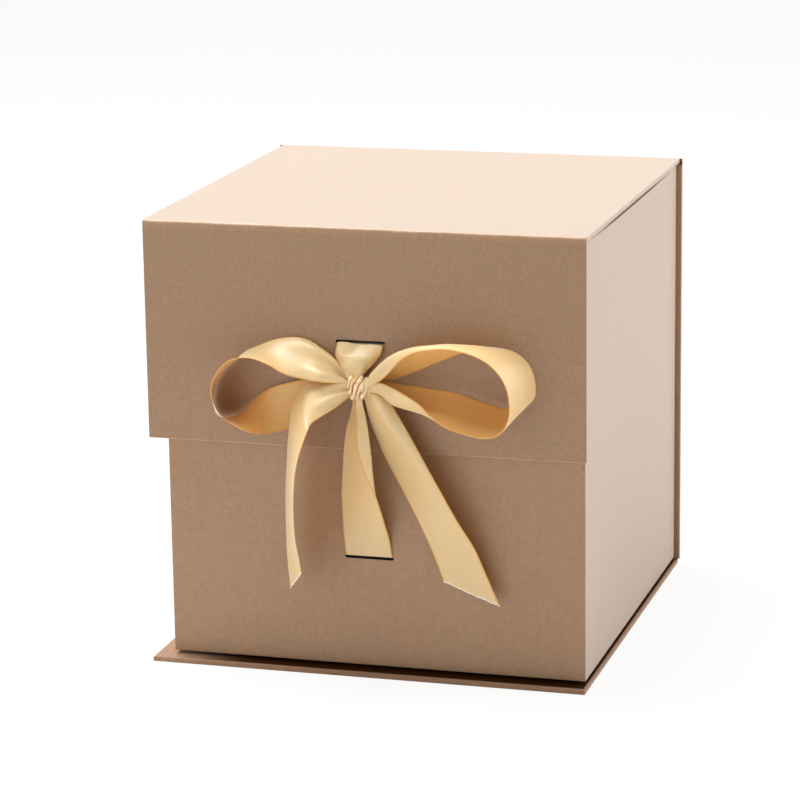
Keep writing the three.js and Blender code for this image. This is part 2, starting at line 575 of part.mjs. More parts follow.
// Stations in real sizes, round the knot
function bowStations(shares, reach) {
  return shares.map(({ at, lift, across, cup, gather }) => {
    const direction = new THREE.Vector3(...across).normalize();
    const angle = THREE.MathUtils.degToRad(Math.max(cup, 1));
    const chord = RIBBON_WIDTH * gather * Math.sin(angle / 2) / (angle / 2);
    const away = lift * KNOT_STANDOFF + Math.abs(direction.y) * chord / 2;
    const middle = new THREE.Vector3(KNOT_X + at[0] * reach, FRONT - away, KNOT_HEIGHT + at[1] * reach);
    return { middle, across: direction, cup, gather };
  });
}

// The strand from the flap's slot down to the knot
function upperStrand() {
  const top = FLAP_SLOT_HEIGHT - SLOT_HEIGHT / 2 + GLUE;
  const low = KNOT_HEIGHT + KNOT_TALL / 2 + RIBBON_CLEAR;
  const fall = top - low;
  const near = FRONT - RIBBON_CLEAR;
  const deep = FRONT - KNOT_STANDOFF;
  const right = new THREE.Vector3(1, 0, 0);
  const lean = KNOT_X - FLAP_SLOT_X;
  const shares = [
    { down: 0, sideways: 0, out: 0, cup: 4, gather: 0.98 },
    { down: 0.3, sideways: 0, out: 0.35, cup: 20, gather: 0.84 },
    { down: 0.65, sideways: -0.6, out: 0.7, cup: 50, gather: 0.58 },
    { down: 1, sideways: -1.2, out: 0.9, cup: 110, gather: 0.3 },
  ];
  const stations = shares.map(({ down, sideways, out, cup, gather }) => ({
    middle: new THREE.Vector3(
      FLAP_SLOT_X + sideways * lean,
      THREE.MathUtils.lerp(near, deep, out),
      top - down * fall,
    ),
    across: right,
    cup,
    gather,
  }));
  return ribbonRun('upper_strand', stations, { side: -1, steps: 8 });
}

// The strand from the knot down over the flap's edge to the front wall's slot
function lowerStrand() {
  const top = KNOT_HEIGHT - KNOT_TALL / 2 - RIBBON_CLEAR;
  const low = WALL_SLOT_HEIGHT + SLOT_HEIGHT / 2 - GLUE;
  const fall = top - low;
  const deep = FRONT - KNOT_STANDOFF;
  const near = TRAY_FRONT - RIBBON_CLEAR;
  const right = new THREE.Vector3(1, 0, 0);
  const shares = [
    { down: 0, sideways: -1.5, out: 0, cup: 120, gather: 0.22 },
    { down: 0.1, sideways: -2, out: 0.06, cup: 90, gather: 0.45 },
    { down: 0.25, sideways: -1, out: 0.2, cup: 50, gather: 0.64 },
    { down: 0.45, sideways: -1, out: 0.42, cup: 20, gather: 0.75 },
    { down: 0.7, sideways: -0.5, out: 0.7, cup: 8, gather: 0.86 },
    { down: 1, sideways: 0, out: 1, cup: 2, gather: 0.99 },
  ];
  const stations = shares.map(({ down, sideways, out, cup, gather }) => ({
    middle: new THREE.Vector3(
      WALL_SLOT_X + sideways * KNOT_X,
      THREE.MathUtils.lerp(deep, near, out),
      top - down * fall,
    ),
    across: right,
    cup,
    gather,
  }));
  return ribbonRun('lower_strand', stations, { side: -1, steps: 12 });
}

// The knot: a short barrel across the box, ridged where the gathered ribbon is wound round it
function makeKnot() {
  const steps = 14;
  const around = 20;
  const ridgeShare = 0.1;
  const slantShare = 0.35;
  const endShare = 0.62;
  const rings = [];
  for (let i = 0; i <= steps; i += 1) {
    const along = i / steps;
    const belly = endShare + (1 - endShare) * Math.sin(Math.PI * along);
    const ring = [];
    for (let j = 0; j < around; j += 1) {
      const angle = 2 * Math.PI * j / around;
      const wave = Math.cos(2 * Math.PI * (KNOT_WRAPS * along + slantShare * Math.sin(angle)));
      const size = belly * (1 - ridgeShare + ridgeShare * wave);
      ring.push(new THREE.Vector3(
        (along - 0.5) * KNOT_LENGTH,
        Math.cos(angle) * size * KNOT_DEEP / 2,
        Math.sin(angle) * size * KNOT_TALL / 2,
      ));
    }
    rings.push(ring);
  }
  const cap = [];
  for (let j = 1; j + 1 < around; j += 1) cap.push([0, j, j + 1]);
  const knot = piece('bow_knot', stitchRings(rings, cap), satin);
  knot.position.set(KNOT_X, FRONT - KNOT_STANDOFF, KNOT_HEIGHT);
  return knot;
}

function makeBow() {
  const group = new THREE.Group();
  const leftLoop = bowStations(LEFT_LOOP_SHARES, LEFT_LOOP_REACH);
  const rightLoop = bowStations(RIGHT_LOOP_SHARES, RIGHT_LOOP_REACH);
  const leftTail = bowStations(LEFT_TAIL_SHARES, LEFT_TAIL_DROP);
  const rightTail = bowStations(RIGHT_TAIL_SHARES, RIGHT_TAIL_DROP);
  group.add(makeKnot());
  group.add(ribbonRun('bow_loop_left', leftLoop, { side: -1, steps: 44 }));
  group.add(ribbonRun('bow_loop_right', rightLoop, { side: 1, steps: 44 }));
  group.add(ribbonRun('bow_tail_left', leftTail, { side: -1, steps: 24, lanes: 4, cut: -0.11 }));
  group.add(ribbonRun('bow_tail_right', rightTail, { side: -1, steps: 20, lanes: 4, cut: 0.19 }));
  group.add(upperStrand());
  group.add(lowerStrand());
  return group;
}

const giftBox = new THREE.Group();
giftBox.name = 'gift_box';
giftBox.add(makeCase());
giftBox.add(makeTrayBoards());
giftBox.add(makeTrayWrap());
giftBox.add(makeTrayLining());
giftBox.add(makeTapes());
giftBox.add(makeAnchors());
giftBox.add(makeBow());

export default giftBox;
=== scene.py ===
"""A rigid cardboard gift box with a hinged lid, a hanging flap and a satin ribbon tied in a bow."""

import math
from collections import namedtuple

import bpy
import numpy as np
from mathutils import Matrix, Vector, noise


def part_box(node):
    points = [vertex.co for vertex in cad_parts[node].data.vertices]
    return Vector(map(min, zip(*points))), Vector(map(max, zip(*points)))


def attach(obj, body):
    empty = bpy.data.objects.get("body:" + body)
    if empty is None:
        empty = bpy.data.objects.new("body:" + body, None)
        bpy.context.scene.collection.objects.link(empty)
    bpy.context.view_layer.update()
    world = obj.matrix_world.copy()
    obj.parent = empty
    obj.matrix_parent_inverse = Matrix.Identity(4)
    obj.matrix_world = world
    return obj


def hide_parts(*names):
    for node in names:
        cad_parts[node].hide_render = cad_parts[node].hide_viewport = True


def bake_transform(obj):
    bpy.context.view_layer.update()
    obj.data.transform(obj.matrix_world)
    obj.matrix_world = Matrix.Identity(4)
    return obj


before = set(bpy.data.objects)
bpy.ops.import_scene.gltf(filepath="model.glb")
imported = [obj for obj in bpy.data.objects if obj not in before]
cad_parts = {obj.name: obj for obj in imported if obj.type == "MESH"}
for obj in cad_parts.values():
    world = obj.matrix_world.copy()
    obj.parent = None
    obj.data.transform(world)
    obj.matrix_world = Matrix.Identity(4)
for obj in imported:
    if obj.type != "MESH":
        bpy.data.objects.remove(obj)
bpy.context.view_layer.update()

bl_info = {
    "name": "Ribboned Gift Box",
    "version": (1, 0),
    "blender": (4, 5, 0),
    "location": "View3D > Sidebar > Gift Box",
    "description": "Dresses a wrapped gift box with kraft paper, a satin bow and a studio stage",
    "category": "Add Mesh",
}

MM = 0.001

# Places read from the frame
KNOT_LOW, KNOT_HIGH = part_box("bow_knot")
KNOT = (KNOT_LOW + KNOT_HIGH) / 2
KNOT_SIZE = KNOT_HIGH - KNOT_LOW
FLAP_LOW, FLAP_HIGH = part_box("flap_wrap")
WALL_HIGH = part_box("front_wall")[1]
TRAY_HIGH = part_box("tray_wrap")[1]
BASE_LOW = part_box("base_wrap")[0]
FLAP_END_LOW, FLAP_END_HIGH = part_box("flap_ribbon_end")
WALL_END_LOW, WALL_END_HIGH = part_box("wall_ribbon_end")
FLAP_FACE = FLAP_LOW.y
# How far the knot's middle stands off the flap
STANDOFF = FLAP_FACE - KNOT.y

# The slots that the ribbon's ends go through, open above the flap's end and below the wall's.
# Each one's painted shade is centred a little past the end.
SLOT_LENGTH = 25.2 * MM
SLOT_HEIGHT = 2 * MM
PAST_END = 0.9 * MM
Slot = namedtuple("Slot", "x z face lining")
FLAP_SLOT = Slot(
    (FLAP_END_LOW.x + FLAP_END_HIGH.x) / 2, FLAP_END_HIGH.z + PAST_END,
    FLAP_END_LOW.y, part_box("flap_liner")[0].y,
)
WALL_SLOT = Slot(
    (WALL_END_LOW.x + WALL_END_HIGH.x) / 2, WALL_END_LOW.z - PAST_END,
    WALL_END_LOW.y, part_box("tray_lining")[0].y,
)

# Painted shade: the darkness inside the slots, and in the corners and gaps where shade falls
SLOT_SHADE_COLOUR = (0.012, 0.009, 0.007)
PAINTED_SHADE_COLOUR = (0.04, 0.015, 0.004)

# The paper's irregularities, in the order that they are laid on: how many there are in a metre;
# the noise's detail and stretch; the noise values at which each begins and is full; its share
# where it is full; and its tone, which is 1 for the paper's own
Layer = namedtuple("Layer", "scale detail stretch begin full share tone")
EVEN = (1, 1, 1)
UPRIGHT = (1, 1, 0.05)
PAPER_LAYERS = {
    "speckle": Layer(1500, 3, EVEN, 0.36, 0.64, 1, 1.24),
    "fibre": Layer(800, 2, UPRIGHT, 0.35, 0.65, 0.5, 1.12),
    "mottle": Layer(380, 3, EVEN, 0.38, 0.62, 0.5, 0.80),
    "cloud": Layer(45, 4, EVEN, 0.35, 0.65, 0.4, 0.93),
    "fleck": Layer(620, 1, EVEN, 0.69, 0.76, 0.5, 0.66),
}
# Painted highlight: a ragged lighter band along a fold, where the bend catches the light
FOLD_HIGHLIGHT = Layer(320, 2, EVEN, 0.30, 0.52, 0.6, 1.7)
TONE_BETWEEN_SPECKLES = 0.76

# Glossier than a plain cloth, as its long threads lie side by side
SATIN_IOR = 1.75

# How a ribbon bends across its width: how wide its fold is, in shares of the width; the share
# of its curl that lies in the fold; its number of pleats; and how far the part beyond the fold
# is turned over, in radians
Crease = namedtuple("Crease", "spread share pleats flip", defaults=(1.5, 0))
# How quickly a ribbon turns over at its fold, in shares of its width
FLIP_SPREAD = 0.035

# The knot's middle up to the flap's slot, that slot down to the knot's top, and the knot's middle
# down to the wall's slot
SLOT_RISE = 19.9 * MM
UPPER_FALL = 13.5 * MM
LOWER_FALL = 89.2 * MM

# Share of the floor's own shading that its white glow hides from the camera
FLOOR_GLOW = 0.9

# Each light's place, the point that it faces and its side, in metres
LIGHTS = {
    "top": ((-0.7, 0.25, 1.75), (-0.35, 0.2, 0), 1.3),
    "side": ((1.6, 0.25, 1.05), (0, 0, 0.11), 1.3),
    "front": ((-1.1, -2.0, 0.5), (0, 0, 0.11), 2.2),
}

PAPER_NODES = (
    "base_hinge_strip", "back_wrap", "rear_hinge_strip", "lid_wrap", "front_hinge_strip",
)
LINING_NODES = ("lid_liner", "flap_liner", "tray_lining", "floor_lining")
BOARD_NODES = (
    "base_board", "back_board", "lid_board", "flap_board", "front_wall", "rear_wall",
    "left_wall", "right_wall", "tray_floor",
)
TAPE_NODES = (
    "floor_tape_front", "floor_tape_rear", "floor_tape_left", "floor_tape_right",
    "back_tape_left", "back_tape_right",
)

# Ribbon stations, each given as: place to the right of the knot and place above it, in
# shares of that ribbon's reach; lift of the edge nearer the box off the flap, in shares of the
# knot's standoff; the direction from that edge to the other one; how far the ribbon curls
# across its width, in degrees; how steep its pleats are, in degrees; how wide it is left by
# gathering; and where across it the fold lies, from -0.5 at the first edge to 0.5.
LEFT_LOOP_SHARES = (
    (-0.02, 0.01, 0.75, 0.20, -0.95, -0.25, 40, 85, 0.30, 0),
    (-0.078, 0.04, 0.60, 0.25, -0.90, -0.35, 45, 78, 0.42, 0),
    (-0.126, 0.072, 0.44, 0.25, -0.84, -0.50, 45, 68, 0.62, 0),
    (-0.18, 0.108, 0.38, 0.22, -0.76, -0.60, 45, 55, 0.82, 0),
    (-0.256, 0.145, 0.30, 0.20, -0.72, -0.66, 40, 38, 0.97, 0),
    (-0.371, 0.18, 0.25, 0.22, -0.65, -0.73, 25, 16, 1.0, 0),
    (-0.525, 0.197, 0.25, 0.34, -0.77, -0.54, 10, 5, 1.0, 0),
    (-0.645, 0.20, 0.25, 0.49, -0.86, -0.18, 0, 0, 1.0, 0),
    (-0.75, 0.198, 0.25, 0.42, -0.90, 0.09, 0, 0, 1.0, 0),
    (-0.855, 0.155, 0.25, 0.25, -0.93, 0.27, 0, 0, 1.0, 0),
    (-0.947, 0.068, 0.25, 0.22, -0.94, 0.27, 0, 0, 1.0, 0),
    (-1.0, -0.045, 0.25, 0.24, -0.94, 0.21, 0, 0, 1.0, 0),
    (-0.998, -0.153, 0.25, 0.34, -0.91, 0.22, 0, 0, 1.0, 0),
    (-0.965, -0.222, 0.25, 0.35, -0.90, 0.27, 0, 0, 1.0, 0),
    (-0.895, -0.245, 0.25, 0.26, -0.95, 0.18, 0, 0, 1.0, 0),
    (-0.815, -0.240, 0.25, 0.21, -0.97, -0.08, 0, 0, 1.0, 0),
    (-0.73, -0.215, 0.25, 0.15, -0.85, -0.50, 8, 0, 1.0, 0),
    (-0.63, -0.190, 0.25, 0.07, -0.52, -0.85, 20, 0, 1.0, 0),
    (-0.48, -0.148, 0.25, 0.08, -0.42, -0.90, 40, 5, 1.0, 0),
    (-0.28, -0.075, 0.35, 0.12, -0.50, -0.85, 60, 40, 0.9, 0),
    (-0.12, -0.02, 0.50, 0.20, -0.75, -0.60, 50, 80, 0.55, 0),
    (-0.02, 0.0, 0.75, 0.20, -0.90, -0.32, 40, 95, 0.34, 0),
)
RIGHT_LOOP_SHARES = (
    (0.02, 0.02, 0.75, 0.10, -0.97, 0.20, 120, 50, 0.40, 0.05),
    (0.055, 0.03, 0.60, 0.12, -0.97, 0.20, 150, 40, 0.50, 0.06),
    (0.09, 0.042, 0.50, 0.13, -0.97, 0.20, 180, 20, 0.72, 0.10),
    (0.135, 0.055, 0.40, 0.14, -0.95, 0.28, 190, 0, 0.90, 0.16),
    (0.20, 0.085, 0.32, 0.15, -0.86, 0.48, 160, 0, 1.0, 0.22),
    (0.273, 0.138, 0.28, 0.17, -0.76, 0.63, 128, 0, 1.0, 0.28),
    (0.35, 0.177, 0.25, 0.18, -0.76, 0.63, 108, 0, 1.0, 0.32),
    (0.454, 0.216, 0.25, 0.17, -0.84, 0.52, 84, 0, 1.0, 0.33),
    (0.631, 0.268, 0.25, -0.07, -0.97, 0.24, 45, 0, 1.0, 0.2),
    (0.78, 0.269, 0.25, -0.12, -0.99, 0.02, 25, 0, 1.0, 0),
    (0.889, 0.231, 0.25, -0.27, -0.96, -0.08, 10, 0, 1.0, 0),
    (0.964, 0.155, 0.25, -0.32, -0.94, -0.12, 0, 0, 1.0, 0),
    (1.0, 0.045, 0.25, -0.32, -0.94, -0.12, 0, 0, 1.0, 0),
    (0.993, -0.06, 0.25, -0.30, -0.93, -0.22, 0, 0, 1.0, 0),
    (0.941, -0.13, 0.25, -0.27, -0.90, -0.36, 0, 0, 1.0, 0),
    (0.845, -0.157, 0.25, -0.19, -0.90, -0.40, 0, 0, 1.0, 0.1),
    (0.717, -0.137, 0.25, -0.14, -0.88, -0.46, 10, 0, 1.0, 0.3),
    (0.563, -0.088, 0.25, -0.15, -0.87, -0.44, 50, 0, 1.0, 0.42),
    (0.494, -0.058, 0.25, -0.12, -0.92, -0.34, 90, 0, 1.0, 0.37),
    (0.42, -0.028, 0.27, -0.06, -0.98, -0.20, 125, 0, 1.0, 0.28),
    (0.31, 0.003, 0.32, 0.03, -0.99, -0.08, 150, 0, 1.0, 0.2),
    (0.20, 0.018, 0.38, 0.10, -0.99, 0.06, 170, 0, 0.92, 0.12),
    (0.13, 0.016, 0.48, 0.14, -0.98, 0.09, 170, 10, 0.7, 0.08),
    (0.07, 0.0, 0.60, 0.16, -0.98, 0.09, 160, 20, 0.48, 0.05),
    (0.02, -0.02, 0.75, 0.17, -0.98, 0.08, 120, 30, 0.36, 0.05),
)
LEFT_TAIL_SHARES = (
    (-0.005, -0.01, 0.95, 0.07, -0.29, -0.95, 60, 95, 0.45, 0),
    (-0.033, -0.008, 1.0, 0.07, -0.29, -0.95, 60, 85, 0.55, 0),
    (-0.059, -0.006, 1.06, 0.11, -0.40, -0.91, 60, 65, 0.65, 0),
    (-0.095, -0.012, 1.14, 0.11, -0.52, -0.84, 50, 35, 0.75, 0),
    (-0.15, -0.03, 1.38, 0.15, -0.58, -0.80, 35, 12, 0.85, 0),
    (-0.217, -0.065, 1.60, 0.32, -0.64, -0.69, 15, 0, 0.95, 0),
    (-0.249, -0.13, 1.72, 0.55, -0.77, -0.30, 5, 0, 1.0, 0),
    (-0.264, -0.19, 1.75, 0.53, -0.82, -0.23, 0, 0, 1.0, 0),
    (-0.28, -0.264, 1.69, 0.51, -0.86, -0.06, 0, 0, 1.0, 0),
    (-0.296, -0.357, 1.56, 0.46, -0.89, 0.0, 0, 0, 1.0, 0),
    (-0.308, -0.462, 1.44, 0.45, -0.89, 0.0, 0, 0, 1.0, 0),
    (-0.315, -0.668, 1.25, 0.47, -0.88, 0.0, 0, 0, 1.0, 0),
    (-0.308, -0.829, 1.06, 0.55, -0.84, 0.0, 0, 0, 1.0, 0),
    (-0.296, -1.0, 0.94, 0.57, -0.82, 0.0, 0, 0, 1.0, 0),
)
RIGHT_TAIL_SHARES = (
    (0.005, -0.005, 0.75, 0.76, -0.34, 0.55, 90, 60, 0.34, 0.1),
    (0.025, -0.024, 0.75, 0.76, -0.34, 0.55, 100, 40, 0.40, 0.1),
    (0.048, -0.042, 0.72, 0.80, -0.34, 0.48, 110, 20, 0.60, 0.12),
    (0.073, -0.072, 0.62, 0.84, -0.36, 0.40, 110, 5, 0.82, 0.16),
    (0.103, -0.126, 0.50, 0.86, -0.40, 0.32, 100, 0, 0.95, 0.22),
    (0.138, -0.20, 0.31, 0.87, -0.42, 0.28, 80, 0, 0.98, 0.30),
    (0.192, -0.31, 0.19, 0.88, -0.42, 0.24, 50, 0, 1.0, 0.36),
    (0.269, -0.455, 0.10, 0.88, -0.42, 0.24, 25, 0, 1.0, 0.3),
    (0.347, -0.606, 0.05, 0.89, -0.38, 0.26, 10, 0, 1.0, 0),
    (0.407, -0.732, 0.0, 0.92, -0.25, 0.30, 0, 0, 1.0, 0),
    (0.452, -0.85, 0.0, 0.93, -0.18, 0.32, 0, 0, 1.0, 0),
    (0.511, -1.0, 0.0, 0.93, -0.12, 0.35, 0, 0, 1.0, 0),
)
# The upper strand's places are shares of its fall from the slot to the knot.
UPPER_STRAND_SHARES = (
    (-0.10, 0.02, 0.14, 1.0, 0.0, -0.04, 0, 26, 1.0, 0),
    (-0.125, -0.186, 0.34, 1.0, 0.0, 0.0, 15, 18, 1.0, 0),
    (-0.18, -0.415, 0.38, 1.0, 0.0, 0.02, 70, 8, 0.98, 0),
    (-0.235, -0.659, 0.48, 1.0, 0.0, 0.05, 110, 0, 0.88, 0),
    (-0.255, -0.862, 0.72, 1.0, 0.0, 0.06, 160, 15, 0.72, 0),
    (-0.24, -1.05, 0.95, 1.0, 0.0, 0.05, 150, 40, 0.48, 0),
    (-0.19, -1.22, 1.05, 1.0, 0.0, 0.05, 120, 60, 0.36, 0),
    (-0.10, -1.40, 1.1, 1.0, 0.0, 0.05, 120, 60, 0.34, 0),
)
# The lower strand's are shares of its fall from the knot to the wall's slot.
LOWER_STRAND_SHARES = (
    (-0.018, -0.02, 0.85, 0.97, -0.20, 0.0, 20, 0, 0.28, 0.15),
    (-0.018, -0.075, 0.85, 0.97, -0.20, 0.0, 20, 0, 0.36, 0.15),
    (-0.017, -0.11, 0.85, 0.98, -0.16, 0.0, 30, 0, 0.43, 0.15),
    (-0.016, -0.17, 0.82, 0.98, -0.15, 0.0, 50, 0, 0.62, 0.17),
    (-0.018, -0.232, 0.75, 0.98, -0.15, 0.0, 60, 0, 0.80, 0.19),
    (-0.018, -0.35, 0.55, 0.97, -0.20, 0.0, 50, 0, 0.98, 0.22),
    (-0.018, -0.479, 0.40, 0.94, -0.32, 0.0, 40, 0, 1.0, 0.33),
    (-0.017, -0.59, 0.22, 0.90, -0.42, 0.0, 30, 0, 1.0, 0.47),
    (-0.013, -0.763, -0.15, 0.96, -0.25, 0.0, 15, 0, 1.0, 0.62),
    (-0.009, -0.901, -0.40, 1.0, -0.05, 0.0, 5, 0, 1.0, 0.62),
    (-0.002, -1.0, -0.50, 1.0, 0.0, 0.0, 0, 0, 1.0, 0.62),
)


# Colours and sizes that a user would change
class BoxColours(bpy.types.PropertyGroup):
    kraft: bpy.props.FloatVectorProperty(
        name="Kraft paper", description="Colour of the outer paper",
        subtype="COLOR", size=3, min=0, max=1, default=(0.315, 0.157, 0.057),
    )
    # Greyer than the rest as it holds a painted sheen in place of the paper's shine
    base_kraft_with_sheen: bpy.props.FloatVectorProperty(
        name="Base paper", description="Colour of the outer paper on the base, which is greyer",
        subtype="COLOR", size=3, min=0, max=1, default=(0.335, 0.20, 0.125),
    )
    lining: bpy.props.FloatVectorProperty(
        name="Lining paper", description="Colour of the paper inside the box",
        subtype="COLOR", size=3, min=0, max=1, default=(0.35, 0.185, 0.082),
    )
    board: bpy.props.FloatVectorProperty(
        name="Greyboard", description="Colour of the board's cut edges",
        subtype="COLOR", size=3, min=0, max=1, default=(0.27, 0.235, 0.19),
    )
    tape: bpy.props.FloatVectorProperty(
        name="Foam tape", description="Colour of the foam tape under the tray",
        subtype="COLOR", size=3, min=0, max=1, default=(0.75, 0.73, 0.68),
    )
    satin: bpy.props.FloatVectorProperty(
        name="Satin", description="Colour of the ribbon",
        subtype="COLOR", size=3, min=0, max=1, default=(0.76, 0.515, 0.24),
    )
    # Partly the back's own duller colour, partly painted shade for the insides of the loops
    satin_back: bpy.props.FloatVectorProperty(
        name="Satin back", description="Colour of the ribbon's duller back",
        subtype="COLOR", size=3, min=0, max=1, default=(0.74, 0.43, 0.145),
    )
    selvedge: bpy.props.FloatVectorProperty(
        name="Selvedge", description="Colour of the ribbon's woven edges",
        subtype="COLOR", size=3, min=0, max=1, default=(0.74, 0.36, 0.08),
    )
    # A painted highlight on the knot's wraps
    crest: bpy.props.FloatVectorProperty(
        name="Knot's crests", description="Colour of the knot's wraps where they stand out",
        subtype="COLOR", size=3, min=0, max=1, default=(0.90, 0.72, 0.44),
    )
    thread: bpy.props.FloatVectorProperty(
        name="Cut threads", description="Colour of the ribbon's cut ends",
        subtype="COLOR", size=3, min=0, max=1, default=(0.90, 0.84, 0.74),
    )


class HingeSizes(bpy.types.PropertyGroup):
    radius: bpy.props.FloatProperty(
        name="Bend", description="Outer radius of the paper's bend between two panels",
        unit="LENGTH", default=1.7 * MM,
    )
    paper: bpy.props.FloatProperty(
        name="Paper", description="Thickness of the paper at a hinge", unit="LENGTH",
        default=0.3 * MM,
    )
    fold: bpy.props.FloatProperty(
        name="Fold", description="Outer radius of the paper's fold over a board's edge",
        unit="LENGTH", default=0.5 * MM,
    )
    wave: bpy.props.FloatProperty(
        name="Wave", description="How far the front bend bulges and dents along its length",
        unit="LENGTH", default=0.3 * MM,
    )


class RibbonSizes(bpy.types.PropertyGroup):
    width: bpy.props.FloatProperty(
        name="Width", description="Ribbon's width laid flat", unit="LENGTH", default=24 * MM,
    )
    thickness: bpy.props.FloatProperty(
        name="Thickness", description="Ribbon's thickness", unit="LENGTH", default=0.3 * MM,
    )
    selvedge: bpy.props.FloatProperty(
        name="Selvedge", description="Width of each woven edge", unit="LENGTH", default=0.85 * MM,
    )
    left_reach: bpy.props.FloatProperty(
        name="Left loop", description="Knot to the left loop's end", unit="LENGTH", default=74 * MM,
    )
    right_reach: bpy.props.FloatProperty(
        name="Right loop", description="Knot to the right loop's end", unit="LENGTH",
        default=83 * MM,
    )
    left_drop: bpy.props.FloatProperty(
        name="Left tail", description="Knot down to the left tail's tip", unit="LENGTH",
        default=105 * MM,
    )
    right_drop: bpy.props.FloatProperty(
        name="Right tail", description="Knot down to the right tail's tip", unit="LENGTH",
        default=112.5 * MM,
    )
    left_cut: bpy.props.FloatProperty(
        name="Left cut", description="How much shorter the left tail's front edge is",
        unit="LENGTH", default=14.7 * MM,
    )
    right_cut: bpy.props.FloatProperty(
        name="Right cut", description="How much shorter the right tail's rear edge is",
        unit="LENGTH", default=19.5 * MM,
    )


class StageSizes(bpy.types.PropertyGroup):
    camera_place: bpy.props.FloatVectorProperty(
        name="Camera", description="Where the camera stands", subtype="TRANSLATION", size=3,
        default=(0.4556, -1.6122, 0.5317),
    )
    azimuth: bpy.props.FloatProperty(
        name="Azimuth", description="How far round to the right the camera stands",
        subtype="ANGLE", default=math.radians(16.24),
    )
    elevation: bpy.props.FloatProperty(
        name="Elevation", description="How far down the camera looks",
        subtype="ANGLE", default=math.radians(13.97),
    )
    roll: bpy.props.FloatProperty(
        name="Roll", description="How far the camera leans",
        subtype="ANGLE", default=math.radians(-0.83),
    )
    lens: bpy.props.FloatProperty(
        name="Lens", description="Focal length in millimetres", default=147.96,
    )
    floor: bpy.props.FloatProperty(
        name="Floor", description="Side of the floor", unit="LENGTH", default=12.0,
    )
    top_power: bpy.props.FloatProperty(
        name="Top light", description="Power of the soft light overhead",
        unit="POWER", default=58.0,
    )
    side_power: bpy.props.FloatProperty(
        name="Side light", description="Power of the soft light on the right",
        unit="POWER", default=24.5,
    )
    front_power: bpy.props.FloatProperty(
        name="Front light", description="Power of the weak light at the front left",
        unit="POWER", default=15.8,
    )
    top_colour: bpy.props.FloatVectorProperty(
        name="Top colour", description="Colour of the soft light overhead",
        subtype="COLOR", size=3, min=0, max=1, default=(1.0, 0.985, 0.925),
    )
    side_colour: bpy.props.FloatVectorProperty(
        name="Side colour", description="Colour of the soft light on the right",
        subtype="COLOR", size=3, min=0, max=1, default=(1.0, 0.955, 0.86),
    )
    front_colour: bpy.props.FloatVectorProperty(
        name="Front colour", description="Colour of the weak light at the front left",
        subtype="COLOR", size=3, min=0, max=1, default=(1.0, 0.92, 0.80),
    )
    ambient: bpy.props.FloatProperty(
        name="Ambient", description="Strength of the light from all round", default=0.25,
    )


# Shader sums written as Python
class Wire:
    """One node output. Sums with numbers or other wires add Math nodes."""

    def __init__(self, sheet, socket):
        self.sheet = sheet
        self.socket = socket

    def _sum(self, operation, *terms, clamp=False):
        settings = {"operation": operation, "use_clamp": clamp}
        return self.sheet.node("ShaderNodeMath", settings, dict(enumerate(terms)))

    def __add__(self, other):
        return self._sum("ADD", self, other)

    __radd__ = __add__

    def __sub__(self, other):
        return self._sum("SUBTRACT", self, other)

    def __rsub__(self, other):
        return self._sum("SUBTRACT", other, self)

    def __mul__(self, other):
        return self._sum("MULTIPLY", self, other)

    __rmul__ = __mul__

    def __abs__(self):
        return self._sum("ABSOLUTE", self)

    def __or__(self, other):
        """One mask or the other."""
        return self._sum("MAXIMUM", self, other)

    def held(self):
        """Kept from 0 to 1."""
        return self._sum("ADD", self, 0.0, clamp=True)

    def rise(self, low, high):
        """0 below low, 1 above high and smooth between."""
        return self.sheet.node(
            "ShaderNodeMapRange", {"interpolation_type": "SMOOTHSTEP"},
            {"Value": self, "From Min": low, "From Max": high},
        )

    def other(self, name):
        """Another output of the same node."""
        return Wire(self.sheet, self.socket.node.outputs[name])


class NodeSheet:
    """A node tree that is filled by one method."""

    def __init__(self, tree):
        self.tree = tree

    def node(self, kind, settings, sockets, output=0):
        made = self.tree.nodes.new(kind)
        for name, value in settings.items():
            setattr(made, name, value)
        for name, value in sockets.items():
            self.plug(value, made.inputs[name])
        return Wire(self, made.outputs[output])

    def plug(self, value, socket):
        if isinstance(value, Wire):
            self.tree.links.new(value.socket, socket)
        else:
            socket.default_value = value

    def seen(self, transmission=True):
        """1 for the rays that show the surroundings: the camera's, a gloss's and a glass's."""
        path = self.node("ShaderNodeLightPath", {}, {}, "Is Camera Ray")
        rays = path + path.other("Is Glossy Ray")
        return (rays + path.other("Is Transmission Ray")).held() if transmission else rays.held()


